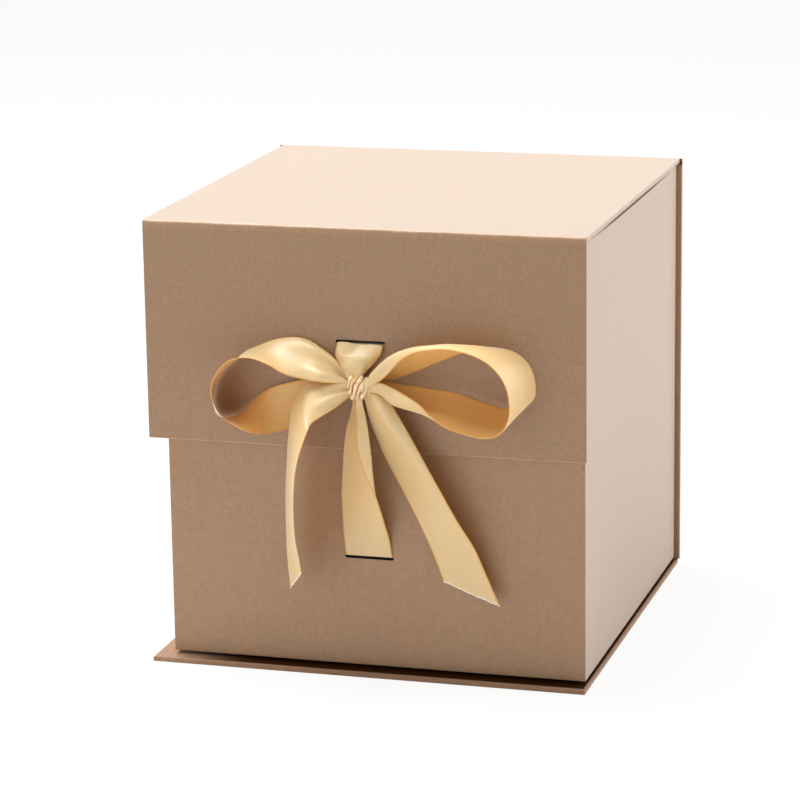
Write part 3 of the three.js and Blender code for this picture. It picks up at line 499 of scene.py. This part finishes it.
class Finish(NodeSheet):
    """One material and its node tree."""

    def __init__(self, name):
        self.material = bpy.data.materials.new(name)
        self.material.use_nodes = True
        super().__init__(self.material.node_tree)
        self.shader = self.tree.nodes["Principled BSDF"]

    def set(self, **values):
        """Sets the surface shader's sockets; base_color stands for Base Color."""
        for name, value in values.items():
            label = "IOR" if name == "ior" else name.replace("_", " ").title()
            self.plug(value, self.shader.inputs[label])

    def gloss(self, level, sheen, sheen_roughness):
        self.shader.inputs["Specular IOR Level"].default_value = level
        self.set(sheen_weight=sheen, sheen_roughness=sheen_roughness)

    def cover(self, share, other):
        """Hides the surface shader, by share, behind another one."""
        own = Wire(self, self.shader.outputs[0])
        mixed = self.node("ShaderNodeMixShader", {}, {0: share, 1: own, 2: other})
        self.plug(mixed, self.tree.nodes["Material Output"].inputs["Surface"])

    def coordinates(self, output="Object"):
        return self.node("ShaderNodeTexCoord", {}, {}, output)

    def split(self, vector):
        first = self.node("ShaderNodeSeparateXYZ", {}, {"Vector": vector})
        return first, first.other(1), first.other(2)

    def noise(self, vector, scale, detail, stretch=EVEN):
        stretched = self.node("ShaderNodeMapping", {}, {"Vector": vector, "Scale": stretch})
        return self.node(
            "ShaderNodeTexNoise", {}, {"Vector": stretched, "Scale": scale, "Detail": detail},
        )

    def mix(self, share, first, second):
        sockets = {0: share, 6: opaque(first), 7: opaque(second)}
        return self.node("ShaderNodeMix", {"data_type": "RGBA"}, sockets, 2)

    def bump(self, height, distance, strength):
        return self.node(
            "ShaderNodeBump", {}, {"Height": height, "Distance": distance, "Strength": strength},
        )


def opaque(colour):
    return colour if isinstance(colour, Wire) else (*tuple(colour)[:3], 1.0)


def shade(colour, share):
    """A colour made darker, or lighter above 1."""
    return tuple(min(1.0, part * share) for part in tuple(colour)[:3])


def within(axes, slot):
    """1 inside a slot, from just behind the face to the lining that closes it."""
    deep = (axes[1] - slot.face).rise(0.05 * MM, 0.3 * MM)
    deep = deep * (1 - (axes[1] - slot.lining).rise(0.05 * MM, 0.15 * MM))
    wide = 1 - abs(axes[0] - slot.x).rise(0.52 * SLOT_LENGTH, 0.54 * SLOT_LENGTH)
    return deep * wide * (1 - abs(axes[2] - slot.z).rise(0.55 * SLOT_HEIGHT, 0.7 * SLOT_HEIGHT))


def paint_slot_shade(finish, tone, axes):
    """Paints shade into the slots: their cut edges and the lining behind them go dark."""
    return finish.mix(within(axes, FLAP_SLOT) | within(axes, WALL_SLOT), tone, SLOT_SHADE_COLOUR)


def paper_finish(name, colour, lit_fold=None, shine=1.0, shade_mask=None):
    """Uncoated kraft paper: a fine speckle, upright fibres, sparse dark flecks and a faint
    cloudiness. The height of a fold, where given, gets a ragged painted highlight along it. The
    shade mask, where given, is made from the coordinates' three axes and paints shade there, as a
    dark matt cover and a dark colour."""
    finish = Finish(name)
    place = finish.coordinates()
    axes = finish.split(place)
    waves = {}
    tone = shade(colour, TONE_BETWEEN_SPECKLES)
    for kind, layer in PAPER_LAYERS.items():
        waves[kind] = finish.noise(place, layer.scale, layer.detail, layer.stretch)
        share = waves[kind].rise(layer.begin, layer.full) * layer.share
        tone = finish.mix(share, tone, shade(colour, layer.tone))
    if lit_fold is not None:
        # Painted highlight along the fold
        near_fold = 1 - abs(axes[2] - lit_fold).rise(0.25 * MM, 0.75 * MM)
        ragged = finish.noise(place, FOLD_HIGHLIGHT.scale, FOLD_HIGHLIGHT.detail).rise(FOLD_HIGHLIGHT.begin, FOLD_HIGHLIGHT.full)
        tone = finish.mix(near_fold * ragged * FOLD_HIGHLIGHT.share, tone, shade(colour, FOLD_HIGHLIGHT.tone))
    if shade_mask:
        # Painted shade: a dark matt cover and a dark colour where the mask is
        shaded = shade_mask(axes)
        shade_matt = finish.node("ShaderNodeBsdfDiffuse", {}, {"Color": opaque(PAINTED_SHADE_COLOUR)})
        finish.cover(shaded, shade_matt)
        tone = finish.mix(shaded, tone, PAINTED_SHADE_COLOUR)
    # Painted shade in the slots
    tone = paint_slot_shade(finish, tone, axes)
    grain = finish.bump(waves["speckle"] * 0.6 + waves["fibre"] * 0.5, 0.04 * MM, 0.5)
    finish.set(base_color=tone, roughness=0.42 + waves["speckle"] * 0.14, normal=grain)
    finish.gloss(shine, shine, 0.5)
    return finish.material


def tray_lid_shadow(axes):
    """Painted shadow of the lid's overhang on the outside of the tray's right edge, darkest under
    the middle of the lid's side.
    """
    middle = 1 - abs(axes[1]).rise(0.3 * WALL_HIGH.x, 0.95 * WALL_HIGH.x)
    outside = axes[0].rise(TRAY_HIGH.x - 0.1 * MM, TRAY_HIGH.x - 0.05 * MM)
    return axes[2].rise(TRAY_HIGH.z - 1.6 * MM, TRAY_HIGH.z - 1.2 * MM) * middle * outside * 0.8


def ledge_shade(axes):
    """The base's ledge, with painted shade in the corner under the tray's front wall."""
    deep = axes[1].rise(BASE_LOW.y + 1.2 * MM, BASE_LOW.y + 2.9 * MM)
    deep = deep * (1 - axes[0].rise(TRAY_HIGH.x, TRAY_HIGH.x + 0.5 * MM))
    return deep * axes[0].rise(0.9 * BASE_LOW.x, 0.5 * BASE_LOW.x) * axes[2].rise(2 * MM, 2.4 * MM)


def board_finish(colour):
    """Greyboard: pressed waste paper with visible specks."""
    finish = Finish("greyboard")
    place = finish.coordinates()
    speck = finish.noise(place, 1400, 2)
    layer = finish.noise(place, 700, 2, (0.2, 0.2, 1))
    tone = finish.mix(speck.rise(0.4, 0.65), shade(colour, 0.85), shade(colour, 1.15))
    # Painted shade in the slots
    tone = paint_slot_shade(finish, tone, finish.split(place))
    grain = finish.bump(layer + speck, 0.08 * MM, 0.6)
    finish.set(base_color=tone, roughness=0.85 + layer * 0.1, normal=grain)
    finish.gloss(0.1, 0.0, 0.5)
    return finish.material


def tape_finish(colour):
    """Closed-cell foam."""
    finish = Finish("foam tape")
    place = finish.coordinates()
    cell = finish.node("ShaderNodeTexVoronoi", {}, {"Vector": place, "Scale": 1800.0})
    tone = finish.mix(cell.rise(0.1, 0.6), shade(colour, 0.9), colour)
    grain = finish.bump(cell, 0.1 * MM, 0.5)
    finish.set(base_color=tone, roughness=0.7 + cell * 0.2, normal=grain)
    return finish.material


def satin_gloss(finish, tone, rough, height, level=1.0, through=0.45):
    """The soft shine that every satin piece has, of strength level; through is how much of the
    light comes from inside the cloth."""
    finish.set(base_color=tone, roughness=rough, normal=finish.bump(height, 0.04 * MM, 0.5))
    finish.set(ior=SATIN_IOR, subsurface_weight=through, subsurface_scale=1.5 * MM)
    finish.set(subsurface_radius=(1.0, 0.6, 0.3))
    finish.gloss(level, 0.7 * level, 0.35)
    return finish.material


def satin_finish(name, colours, colour, sizes, cut=False, level=0.8):
    """Satin ribbon. The first UV coordinate runs across it and the second along it, in metres.
    With cut, the second starts at the ribbon's cut end, which is frayed."""
    finish = Finish(name)
    uv = finish.coordinates("UV")
    across, along, _ = finish.split(uv)
    edge = abs(across - sizes.width / 2).rise(
        sizes.width / 2 - sizes.selvedge, sizes.width / 2 - sizes.selvedge * 0.6,
    )
    thread = finish.noise(uv, 5200, 1, (1, 0.02, 1))
    streak = finish.noise(uv, 500, 2, (1, 0.05, 1))
    tone = finish.mix(streak.rise(0.35, 0.65), shade(colour, 0.985), shade(colour, 1.015))
    tone = finish.mix(edge * 0.95, tone, colours.selvedge)
    if cut:
        ragged = finish.noise(uv, 1500, 3, (1, 0.15, 1))
        fray = 1 - (along + ragged * 1.2 * MM).rise(1.0 * MM, 1.7 * MM)
        tone = finish.mix(fray, tone, colours.thread)
    rib = finish.node("ShaderNodeTexWave", {"bands_direction": "Y"}, {"Vector": uv, "Scale": 900.0})
    rough = 0.45 + edge * 0.3 + streak * 0.04
    return satin_gloss(finish, tone, rough, thread + rib * edge, level)


def both_sides(name, colours, sizes, cut=False):
    """Satin for a ribbon's face and for its duller back, whose deeper orange is partly painted
    shade for the insides of the loops.
    """
    return (
        satin_finish(name, colours, colours.satin, sizes, cut),
        satin_finish(name + " back", colours, colours.satin_back, sizes, cut, 0.45),
    )


def hidden_satin_finish(colours):
    """Satin for the ribbon's ends behind the slots, which have no UV map."""
    finish = Finish("satin ends")
    streak = finish.noise(finish.coordinates(), 700, 2, (1, 0.2, 0.2))
    light = shade(colours.satin, 1.03)
    tone = finish.mix(streak.rise(0.35, 0.65), shade(colours.satin, 0.98), light)
    return satin_gloss(finish, tone, 0.36 + streak * 0.04, streak, through=0.1)


def knot_finish(colours):
    """Satin painted with light and shade: deep orange between the knot's wraps as painted shade,
    and a pale painted highlight on their crests.
    """
    finish = Finish("satin knot")
    crest = finish.node("ShaderNodeAttribute", {"attribute_name": "ridge"}, {}, "Fac")
    # Painted shade between the wraps in the selvedge's colour, painted highlight on the crests
    tone = finish.mix(crest.rise(0.15, 0.9), colours.selvedge, colours.crest)
    return satin_gloss(finish, tone, 0.42, crest, through=0.2)


def dress(obj, *materials):
    obj.data.materials.clear()
    for material in materials:
        obj.data.materials.append(material)


def clear_selection():
    for obj in bpy.context.selected_objects:
        obj.select_set(False)


def new_grid(name, columns, rows):
    """A grid of columns by rows squares, with the column and row of each vertex."""
    clear_selection()
    bpy.ops.mesh.primitive_grid_add(x_subdivisions=columns, y_subdivisions=rows, size=1)
    obj = bpy.context.object
    obj.name = name
    places = [
        (round((v.co.x + 0.5) * columns), round((v.co.y + 0.5) * rows)) for v in obj.data.vertices
    ]
    return obj, places


def thicken(obj, thickness, offset):
    """Gives a sheet its thickness and a smooth surface. Its back takes its second material."""
    solid = obj.modifiers.new("thickness", "SOLIDIFY")
    solid.thickness = thickness
    solid.offset = offset
    solid.material_offset = 1
    bpy.ops.object.modifier_apply(modifier="thickness")
    bpy.ops.object.shade_smooth_by_angle(angle=math.radians(50))
    clear_selection()


def wander(at, row):
    """Smooth noise along a line. Each row has its own."""
    return noise.noise(Vector((at, row, 0)))


# Paper bends
def bend_profile(sizes, high, far, outward, start, end):
    """Points and outward normals down a corner of the case, from the flat panel at start to the
    upright panel at end, as (y, z) pairs. outward is -1 at the front and 1 at the back."""
    radius = sizes.radius
    turns = np.linspace(0, math.pi / 2, 13)
    y = far - outward * radius + outward * radius * np.sin(turns)
    z = high - radius + radius * np.cos(turns)
    y = np.concatenate(([start, (start + y[0]) / 2], y, [far, far]))
    z = np.concatenate(([high, high], z, [(z[-1] + end) / 2, end]))
    turns = np.concatenate(([0, 0], turns, [math.pi / 2] * 2))
    return y, z, outward * np.sin(turns), np.cos(turns)


def bend_columns(sizes, half, count):
    """Places along a bend, and how far each is set in: the ends are folded over like the paper
    on a board's edge."""
    turns = np.linspace(math.pi / 2, 0, 7)
    end_x = half - sizes.fold + sizes.fold * np.sin(turns)
    end_in = sizes.fold * (1 - np.cos(turns))
    x = np.concatenate(([half, half], end_x, np.linspace(half - sizes.fold, 0, count)[1:]))
    inset = np.concatenate(([sizes.radius * 0.9, sizes.radius * 0.6], end_in, np.zeros(count - 1)))
    return np.concatenate((-x, x[-2::-1])), np.concatenate((inset, inset[-2::-1]))


def bend_paper(name, node, sizes, half, far, start, end, outward, wave):
    """Paper that runs round a corner of the case, from one panel to the next."""
    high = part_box(node)[1].z
    y, z, ny, nz = bend_profile(sizes, high, far, outward, start, end)
    x, inset = bend_columns(sizes, half, 90)
    obj, places = new_grid(name, len(x) - 1, len(y) - 1)
    swell = np.sin(np.linspace(0, math.pi, len(y))) ** 2
    for vertex, (column, row) in zip(obj.data.vertices, places):
        ripple = wander(x[column] / (14 * MM), 3.7) + 0.5 * wander(x[column] / (5 * MM), 8.1)
        push = wave * ripple * swell[row] - inset[column]
        vertex.co = (x[column], y[row] + ny[row] * push, z[row] + nz[row] * push)
    face_outwards(obj, Vector((0, outward, 1)))
    thicken(obj, sizes.paper, -1)
    return obj


def face_outwards(obj, direction):
    """Turns a sheet's faces over if they point away from direction."""
    lean = sum((p.normal * p.area for p in obj.data.polygons), Vector())
    if lean.dot(direction) < 0:
        bpy.ops.object.mode_set(mode="EDIT")
        bpy.ops.mesh.select_all(action="SELECT")
        bpy.ops.mesh.flip_normals()
        bpy.ops.object.mode_set(mode="OBJECT")


class GIFTBOX_OT_papers(bpy.types.Operator):
    """Finish the papers, boards and tapes of the box"""

    bl_idname = "giftbox.papers"
    bl_label = "Papers and boards"

    def execute(self, context):
        colours = context.scene.giftbox_colours
        kraft = paper_finish("kraft paper", colours.kraft)
        lining = paper_finish("kraft lining", colours.lining, shine=0.3)
        board = board_finish(colours.board)
        tape = tape_finish(colours.tape)
        for names, material in (
            (PAPER_NODES, kraft), (LINING_NODES, lining), (BOARD_NODES, board), (TAPE_NODES, tape),
        ):
            for name in names:
                dress(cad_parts[name], material)
        # The flap's paper is painted darker than the rest as shade, and gets a painted highlight
        # along its lower fold
        flap = paper_finish("kraft flap paper", shade(colours.kraft, 0.89), lit_fold=FLAP_LOW.z)
        dress(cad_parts["flap_wrap"], flap)
        # Painted shadow of the lid's overhang on the tray's right side
        tray = paper_finish("kraft tray paper", colours.kraft, shade_mask=tray_lid_shadow)
        dress(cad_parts["tray_wrap"], tray)
        # The base's paper has little shine; its greyer colour paints the sheen in, and shade is
        # painted on its ledge
        base = paper_finish("kraft base paper", colours.base_kraft_with_sheen, shine=0.12, shade_mask=ledge_shade)
        dress(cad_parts["base_wrap"], base)
        satin = hidden_satin_finish(colours)
        for name in ("flap_ribbon_end", "wall_ribbon_end"):
            dress(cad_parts[name], satin)
        return {"FINISHED"}


class GIFTBOX_OT_bends(bpy.types.Operator):
    """Make the paper bends between the lid and its two neighbours"""

    bl_idname = "giftbox.bends"
    bl_label = "Paper bends"

    def execute(self, context):
        sizes = context.scene.giftbox_hinge
        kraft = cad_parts["lid_wrap"].data.materials[0]
        lid_low, lid_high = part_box("lid_wrap")
        back_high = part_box("back_wrap")[1]
        front = bend_paper(
            "front_bend", "front_hinge_strip", sizes, lid_high.x, FLAP_FACE, lid_low.y, FLAP_HIGH.z,
            -1, sizes.wave,
        )
        rear = bend_paper(
            "rear_bend", "rear_hinge_strip", sizes, back_high.x, back_high.y, lid_high.y,
            back_high.z, 1, sizes.wave * 0.5,
        )
        lid_front, lid_rear = (lid_low.y, lid_high.z), (lid_high.y, lid_high.z)
        flap_top, back_top = (FLAP_FACE, FLAP_HIGH.z), (back_high.y, back_high.z)
        for bend, node, first, second, start, end in (
            (front, "front_hinge_strip", "lid", "flap", lid_front, flap_top),
            (rear, "rear_hinge_strip", "box", "lid", back_top, lid_rear),
        ):
            dress(bend, kraft)
            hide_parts(node)
            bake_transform(bend)
        return {"FINISHED"}


# Ribbon shapes
def eased(rows, places, at):
    """Smooth interpolation of rows of numbers, known at places."""
    slopes = np.gradient(rows, places, axis=0)
    i = np.clip(np.searchsorted(places, at, side="right") - 1, 0, len(places) - 2)
    gap = (places[i + 1] - places[i])[:, None]
    t = ((at - places[i])[:, None]) / gap
    held = (1 + 2 * t) * (1 - t) ** 2 * rows[i] + t**2 * (3 - 2 * t) * rows[i + 1]
    return held + gap * t * (1 - t) * ((1 - t) * slopes[i] - t * slopes[i + 1])


def unit(vectors):
    return vectors / np.linalg.norm(vectors, axis=1)[:, None]


def cross_sections(rows, width, lanes, crease):
    """Outlines across a ribbon, one for each row of curl, pleat, gathered size and fold place.
    Each bulges along its second axis, and is centred on the middle more as it is gathered."""
    curl, pleat, size, fold = rows.T[:, :, None]
    s = (np.arange(lanes) + 0.5) / lanes - 0.5
    from_fold = s - fold
    spread = crease.spread
    reach = np.tanh((0.5 - fold) / spread) + np.tanh((0.5 + fold) / spread)
    turn = (1 - crease.share) * s + crease.share * np.tanh(from_fold / spread) / reach
    slope = pleat * np.sin(2 * math.pi * crease.pleats * s) - curl * turn
    lean = np.arctan2(np.sin(slope).sum(axis=1), np.cos(slope).sum(axis=1))[:, None]
    slope = slope - lean - crease.flip * (0.5 + 0.5 * np.tanh(from_fold / FLIP_SPREAD))
    start = np.zeros((len(rows), 1))
    step = size * width / lanes
    x = np.concatenate((start, np.cumsum(np.cos(slope) * step, axis=1)), axis=1)
    y = np.concatenate((start, np.cumsum(np.sin(slope) * step, axis=1)), axis=1)
    end = x[:, -1]
    if crease.flip:
        edges = np.linspace(-0.5, 0.5, lanes + 1)
        end = np.array([np.interp(at, edges, row) for at, row in zip(fold[:, 0], x)])
    deep = y.mean(axis=1, keepdims=True) * np.clip(1.8 * (1 - size), 0, 1)
    return x - end[:, None] / 2, y - deep, end


def ribbon_surface(shares, origin, reach, width, side, crease, steps=240, lanes=48):
    """Points of a ribbon, one row for each step along it. side is 1 where it bulges to the right
    of its run, seen along it from the front, and -1 where it bulges to the left."""
    table = np.array(shares, float)
    across = unit(table[:, 3:6])
    table[:, 6:8] = np.radians(table[:, 6:8])
    wide = cross_sections(table[:, 6:10], width, lanes, crease)[2]
    middle = np.stack((
        origin.x + table[:, 0] * reach,
        FLAP_FACE - table[:, 2] * STANDOFF - np.abs(across[:, 1]) * wide / 2,
        origin.z + table[:, 1] * reach,
    ), axis=1)
    gaps = np.linalg.norm(np.diff(middle, axis=0), axis=1)
    places = np.concatenate(([0.0], np.cumsum(gaps)))
    rows = np.concatenate((middle, across, table[:, 6:10]), axis=1)
    flow = eased(rows, places, np.linspace(0, places[-1], steps + 1))
    over = unit(flow[:, 3:6])
    bulge = unit(np.cross(over, unit(np.gradient(flow[:, :3], axis=0)))) * side
    x, y, _ = cross_sections(flow[:, 6:10], width, lanes, crease)
    return flow[:, None, :3] + x[:, :, None] * over[:, None, :] + y[:, :, None] * bulge[:, None, :]


def lengths_along(surface):
    """Length run at each point, along its own lane."""
    steps = np.linalg.norm(np.diff(surface, axis=0), axis=2)
    return np.concatenate((np.zeros((1, surface.shape[1])), np.cumsum(steps, axis=0)))


def run_length(surface):
    return float(lengths_along(surface)[-1, surface.shape[1] // 2])


def cut_slanting(surface, share):
    """Shortens a ribbon towards one edge: share of its length at the first edge, or at the last
    edge where share is below zero."""
    steps, lanes = surface.shape[0] - 1, surface.shape[1] - 1
    at = np.linspace(0, steps, steps + 1)
    cut = np.empty_like(surface)
    for lane in range(lanes + 1):
        toward = lane / lanes if share < 0 else 1 - lane / lanes
        shortened = at * (1 - abs(share) * toward)
        for axis in range(3):
            cut[:, lane, axis] = np.interp(shortened, at, surface[:, lane, axis])
    return cut


def frayed(surface):
    """Makes a cut end ragged: each lane's last points run on or stop short a little."""
    run = surface[-1] - surface[-4]
    run /= np.linalg.norm(run, axis=1)[:, None]
    for lane in range(surface.shape[1]):
        ragged = wander(lane * 0.9, 5.3) + 0.6 * wander(lane * 0.31, 1.7)
        surface[-2:, lane] += run[lane] * ragged * 0.7 * MM
    return surface


def weave(name, surface, sizes, materials, from_end=False):
    """Makes a ribbon of real thickness from its surface points, with UVs in metres. The first
    material goes on the side that its faces point to."""
    steps, lanes = surface.shape[0] - 1, surface.shape[1] - 1
    ribbon, places = new_grid(name, lanes, steps)
    mesh = ribbon.data
    along = lengths_along(surface)
    if from_end:
        along = along[-1:] - along
    for vertex, (lane, step) in zip(mesh.vertices, places):
        vertex.co = surface[step, lane]
    layer = mesh.uv_layers.active.data
    for loop in mesh.loops:
        lane, step = places[loop.vertex_index]
        layer[loop.index].uv = (lane / lanes * sizes.width, along[step, lane])
    dress(ribbon, *materials)
    thicken(ribbon, sizes.thickness, 0)
    return ribbon


def finish_ribbon(ribbon, node):
    """Hands a ribbon its body and hides the part that it replaces."""
    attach(ribbon, "flap")
    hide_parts(node)


class GIFTBOX_OT_loops(bpy.types.Operator):
    """Make the bow's two loops"""

    bl_idname = "giftbox.loops"
    bl_label = "Bow loops"

    def execute(self, context):
        sizes = context.scene.giftbox_ribbon
        face, back = both_sides("satin", context.scene.giftbox_colours, sizes)
        for name, shares, reach, side, crease in (
            ("loop_left", LEFT_LOOP_SHARES, sizes.left_reach, -1, Crease(0.2, 0.4)),
            ("loop_right", RIGHT_LOOP_SHARES, sizes.right_reach, 1, Crease(0.1, 0.75)),
        ):
            surface = ribbon_surface(shares, KNOT, reach, sizes.width, side, crease, steps=360)
            ribbon = weave(name, surface, sizes, (face, back) if side > 0 else (back, face))
            finish_ribbon(ribbon, "bow_" + name)
        return {"FINISHED"}


class GIFTBOX_OT_tails(bpy.types.Operator):
    """Make the bow's two tails with their slanting cuts"""

    bl_idname = "giftbox.tails"
    bl_label = "Bow tails"

    def execute(self, context):
        sizes = context.scene.giftbox_ribbon
        face, back = both_sides("cut satin", context.scene.giftbox_colours, sizes, cut=True)
        left, right = Crease(0.3, 0, 2.5), Crease(0.1, 0.75)
        for name, shares, drop, crease, cut in (
            ("tail_left", LEFT_TAIL_SHARES, sizes.left_drop, left, -sizes.left_cut),
            ("tail_right", RIGHT_TAIL_SHARES, sizes.right_drop, right, sizes.right_cut),
        ):
            whole = ribbon_surface(shares, KNOT, drop, sizes.width, -1, crease)
            length = run_length(whole)
            surface = frayed(cut_slanting(whole, cut / length))
            ribbon = weave(name, surface, sizes, (back, face), from_end=True)
            area = sizes.width * (length - abs(cut) / 2)
            finish_ribbon(ribbon, "bow_" + name)
        return {"FINISHED"}


class GIFTBOX_OT_strands(bpy.types.Operator):
    """Make the strands between the knot and the two slots"""

    bl_idname = "giftbox.strands"
    bl_label = "Strands"

    def execute(self, context):
        sizes = context.scene.giftbox_ribbon
        colours = context.scene.giftbox_colours
        face = satin_finish("satin strand", colours, colours.satin, sizes)
        slot = Vector((KNOT.x, 0, KNOT.z + SLOT_RISE))
        plain, turned_over = Crease(0.3, 0), Crease(0.3, 0, flip=math.radians(-170))
        for name, shares, origin, fall, crease in (
            ("upper_strand", UPPER_STRAND_SHARES, slot, UPPER_FALL, plain),
            ("lower_strand", LOWER_STRAND_SHARES, KNOT, LOWER_FALL, turned_over),
        ):
            surface = ribbon_surface(shares, origin, fall, sizes.width, -1, crease, lanes=72)
            ribbon = weave("strand_" + name[:5], surface, sizes, (face,))
            finish_ribbon(ribbon, name)
        return {"FINISHED"}


class GIFTBOX_OT_knot(bpy.types.Operator):
    """Make the knot, a short barrel of tightly wound pleats"""

    bl_idname = "giftbox.knot"
    bl_label = "Knot"

    def execute(self, context):
        clear_selection()
        bpy.ops.mesh.primitive_uv_sphere_add(segments=160, ring_count=96, radius=1)
        knot = context.object
        knot.name = "knot"
        ridges = knot.data.attributes.new("ridge", "FLOAT", "POINT")
        for vertex, height in zip(knot.data.vertices, ridges.data):
            vertex.co, height.value = knot_point(vertex.co)
        bpy.ops.object.mode_set(mode="EDIT")
        bpy.ops.mesh.select_all(action="SELECT")
        bpy.ops.mesh.normals_make_consistent(inside=False)
        bpy.ops.object.mode_set(mode="OBJECT")
        bpy.ops.object.shade_smooth_by_angle(angle=math.radians(60))
        clear_selection()
        dress(knot, knot_finish(context.scene.giftbox_colours))
        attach(knot, "flap")
        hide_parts("bow_knot")
        return {"FINISHED"}


def knot_point(ball):
    """Where a point of a unit ball lies on the knot, and how near it is to a wrap's crest. The
    knot is a barrel of slanting wraps, tall at its left end and lower at its right."""
    wraps, slant, blocky, furrow = 2.3, 0.9, 3.0, 0.48
    x, y, z = ball.z, ball.x, ball.y
    phi = math.atan2(z, -y)
    round_size = max(1e-6, 1 - abs(x) ** blocky) ** (1 / blocky)
    wobble = noise.noise(Vector((x * 2.2, math.cos(phi), math.sin(phi)))) * 0.5
    q = wraps * x - slant * math.sin(phi + 0.2) + wobble
    ridge = abs(math.sin(math.pi * q)) ** 0.8
    size = round_size * (1 - furrow + furrow * ridge)
    raised_right_end = 0.10 * max(0.0, x) * (phi < 0) * abs(math.sin(phi))
    tall = 0.47 - 0.07 * x - raised_right_end
    place = Vector((
        KNOT.x + x * KNOT_SIZE.x * 0.49,
        KNOT.y - math.cos(phi) * size * KNOT_SIZE.y / 2,
        KNOT.z + math.sin(phi) * size * KNOT_SIZE.z * tall,
    ))
    return place, ridge


def soft_light(name, place, target, size, power, colour):
    """An area light that faces a point."""
    turn = (Vector(target) - Vector(place)).to_track_quat("-Z", "Y").to_euler()
    bpy.ops.object.light_add(type="AREA", location=place, rotation=turn)
    light = bpy.context.object
    light.name = name
    light.data.shape = "SQUARE"
    light.data.size = size
    light.data.energy = power
    light.data.color = colour
    clear_selection()


class GIFTBOX_OT_stage(bpy.types.Operator):
    """Make the floor, the lights, the white surroundings and the camera"""

    bl_idname = "giftbox.stage"
    bl_label = "Stage"

    def execute(self, context):
        stage = context.scene.giftbox_stage
        self.make_floor(stage)
        self.make_world(context.scene, stage)
        for name, (place, target, size) in LIGHTS.items():
            power, colour = getattr(stage, name + "_power"), getattr(stage, name + "_colour")
            soft_light(name + " light", place, target, size, power, colour)
        self.make_camera(context.scene, stage)
        context.scene.view_settings.view_transform = "Standard"
        return {"FINISHED"}

    def make_floor(self, stage):
        clear_selection()
        bpy.ops.mesh.primitive_plane_add(size=stage.floor, location=(0, 0, 0))
        floor = bpy.context.object
        floor.name = "floor"
        finish = Finish("floor")
        finish.set(base_color=(0.9, 0.9, 0.9, 1), roughness=0.9)
        finish.gloss(0.0, 0.0, 0.5)
        glow = finish.node("ShaderNodeEmission", {}, {"Color": (1, 1, 1, 1), "Strength": 1.0})
        finish.cover(finish.seen(transmission=False) * FLOOR_GLOW, glow)
        dress(floor, finish.material)
        clear_selection()

    def make_world(self, scene, stage):
        world = bpy.data.worlds.new("white surroundings")
        world.use_nodes = True
        scene.world = world
        sky = NodeSheet(world.node_tree)
        plain = sky.node(
            "ShaderNodeBackground", {}, {"Color": (1, 1, 1, 1), "Strength": stage.ambient},
        )
        white = sky.node("ShaderNodeBackground", {}, {"Color": (1, 1, 1, 1), "Strength": 1.0})
        mixed = sky.node("ShaderNodeMixShader", {}, {0: sky.seen(), 1: plain, 2: white})
        sky.plug(mixed, world.node_tree.nodes["World Output"].inputs["Surface"])

    def make_camera(self, scene, stage):
        turn = (
            Matrix.Rotation(stage.azimuth, 4, "Z")
            @ Matrix.Rotation(math.pi / 2 - stage.elevation, 4, "X")
            @ Matrix.Rotation(stage.roll, 4, "Z")
        )
        bpy.ops.object.camera_add(location=stage.camera_place, rotation=turn.to_euler())
        camera = bpy.context.object
        camera.data.lens = stage.lens
        camera.data.sensor_width = 36
        camera.data.clip_end = 50
        scene.camera = camera
        clear_selection()


class GIFTBOX_PT_sidebar(bpy.types.Panel):
    """Lists the gift box's pieces in the order they are made"""

    bl_idname = "GIFTBOX_PT_sidebar"
    bl_label = "Gift Box"
    bl_space_type = "VIEW_3D"
    bl_region_type = "UI"
    bl_category = "Gift Box"

    def draw(self, context):
        layout = self.layout
        for attribute, group in GROUPS.items():
            box = layout.box()
            for name in group.__annotations__:
                box.prop(getattr(context.scene, attribute), name)
        for step in STEPS:
            layout.operator(step.bl_idname)


STEPS = (
    GIFTBOX_OT_papers, GIFTBOX_OT_bends, GIFTBOX_OT_knot, GIFTBOX_OT_loops, GIFTBOX_OT_tails,
    GIFTBOX_OT_strands, GIFTBOX_OT_stage,
)
GROUPS = {
    "giftbox_colours": BoxColours,
    "giftbox_hinge": HingeSizes,
    "giftbox_ribbon": RibbonSizes,
    "giftbox_stage": StageSizes,
}


def register():
    for name, group in GROUPS.items():
        bpy.utils.register_class(group)
        setattr(bpy.types.Scene, name, bpy.props.PointerProperty(type=group))
    for step in STEPS:
        bpy.utils.register_class(step)
    bpy.utils.register_class(GIFTBOX_PT_sidebar)


def unregister():
    bpy.utils.unregister_class(GIFTBOX_PT_sidebar)
    for step in reversed(STEPS):
        bpy.utils.unregister_class(step)
    for name, group in reversed(GROUPS.items()):
        delattr(bpy.types.Scene, name)
        bpy.utils.unregister_class(group)


def main():
    register()
    clear_selection()
    bpy.ops.giftbox.papers()
    bpy.ops.giftbox.bends()
    bpy.ops.giftbox.knot()
    bpy.ops.giftbox.loops()
    bpy.ops.giftbox.tails()
    bpy.ops.giftbox.strands()
    bpy.ops.giftbox.stage()


if __name__ == "__main__":
    main()
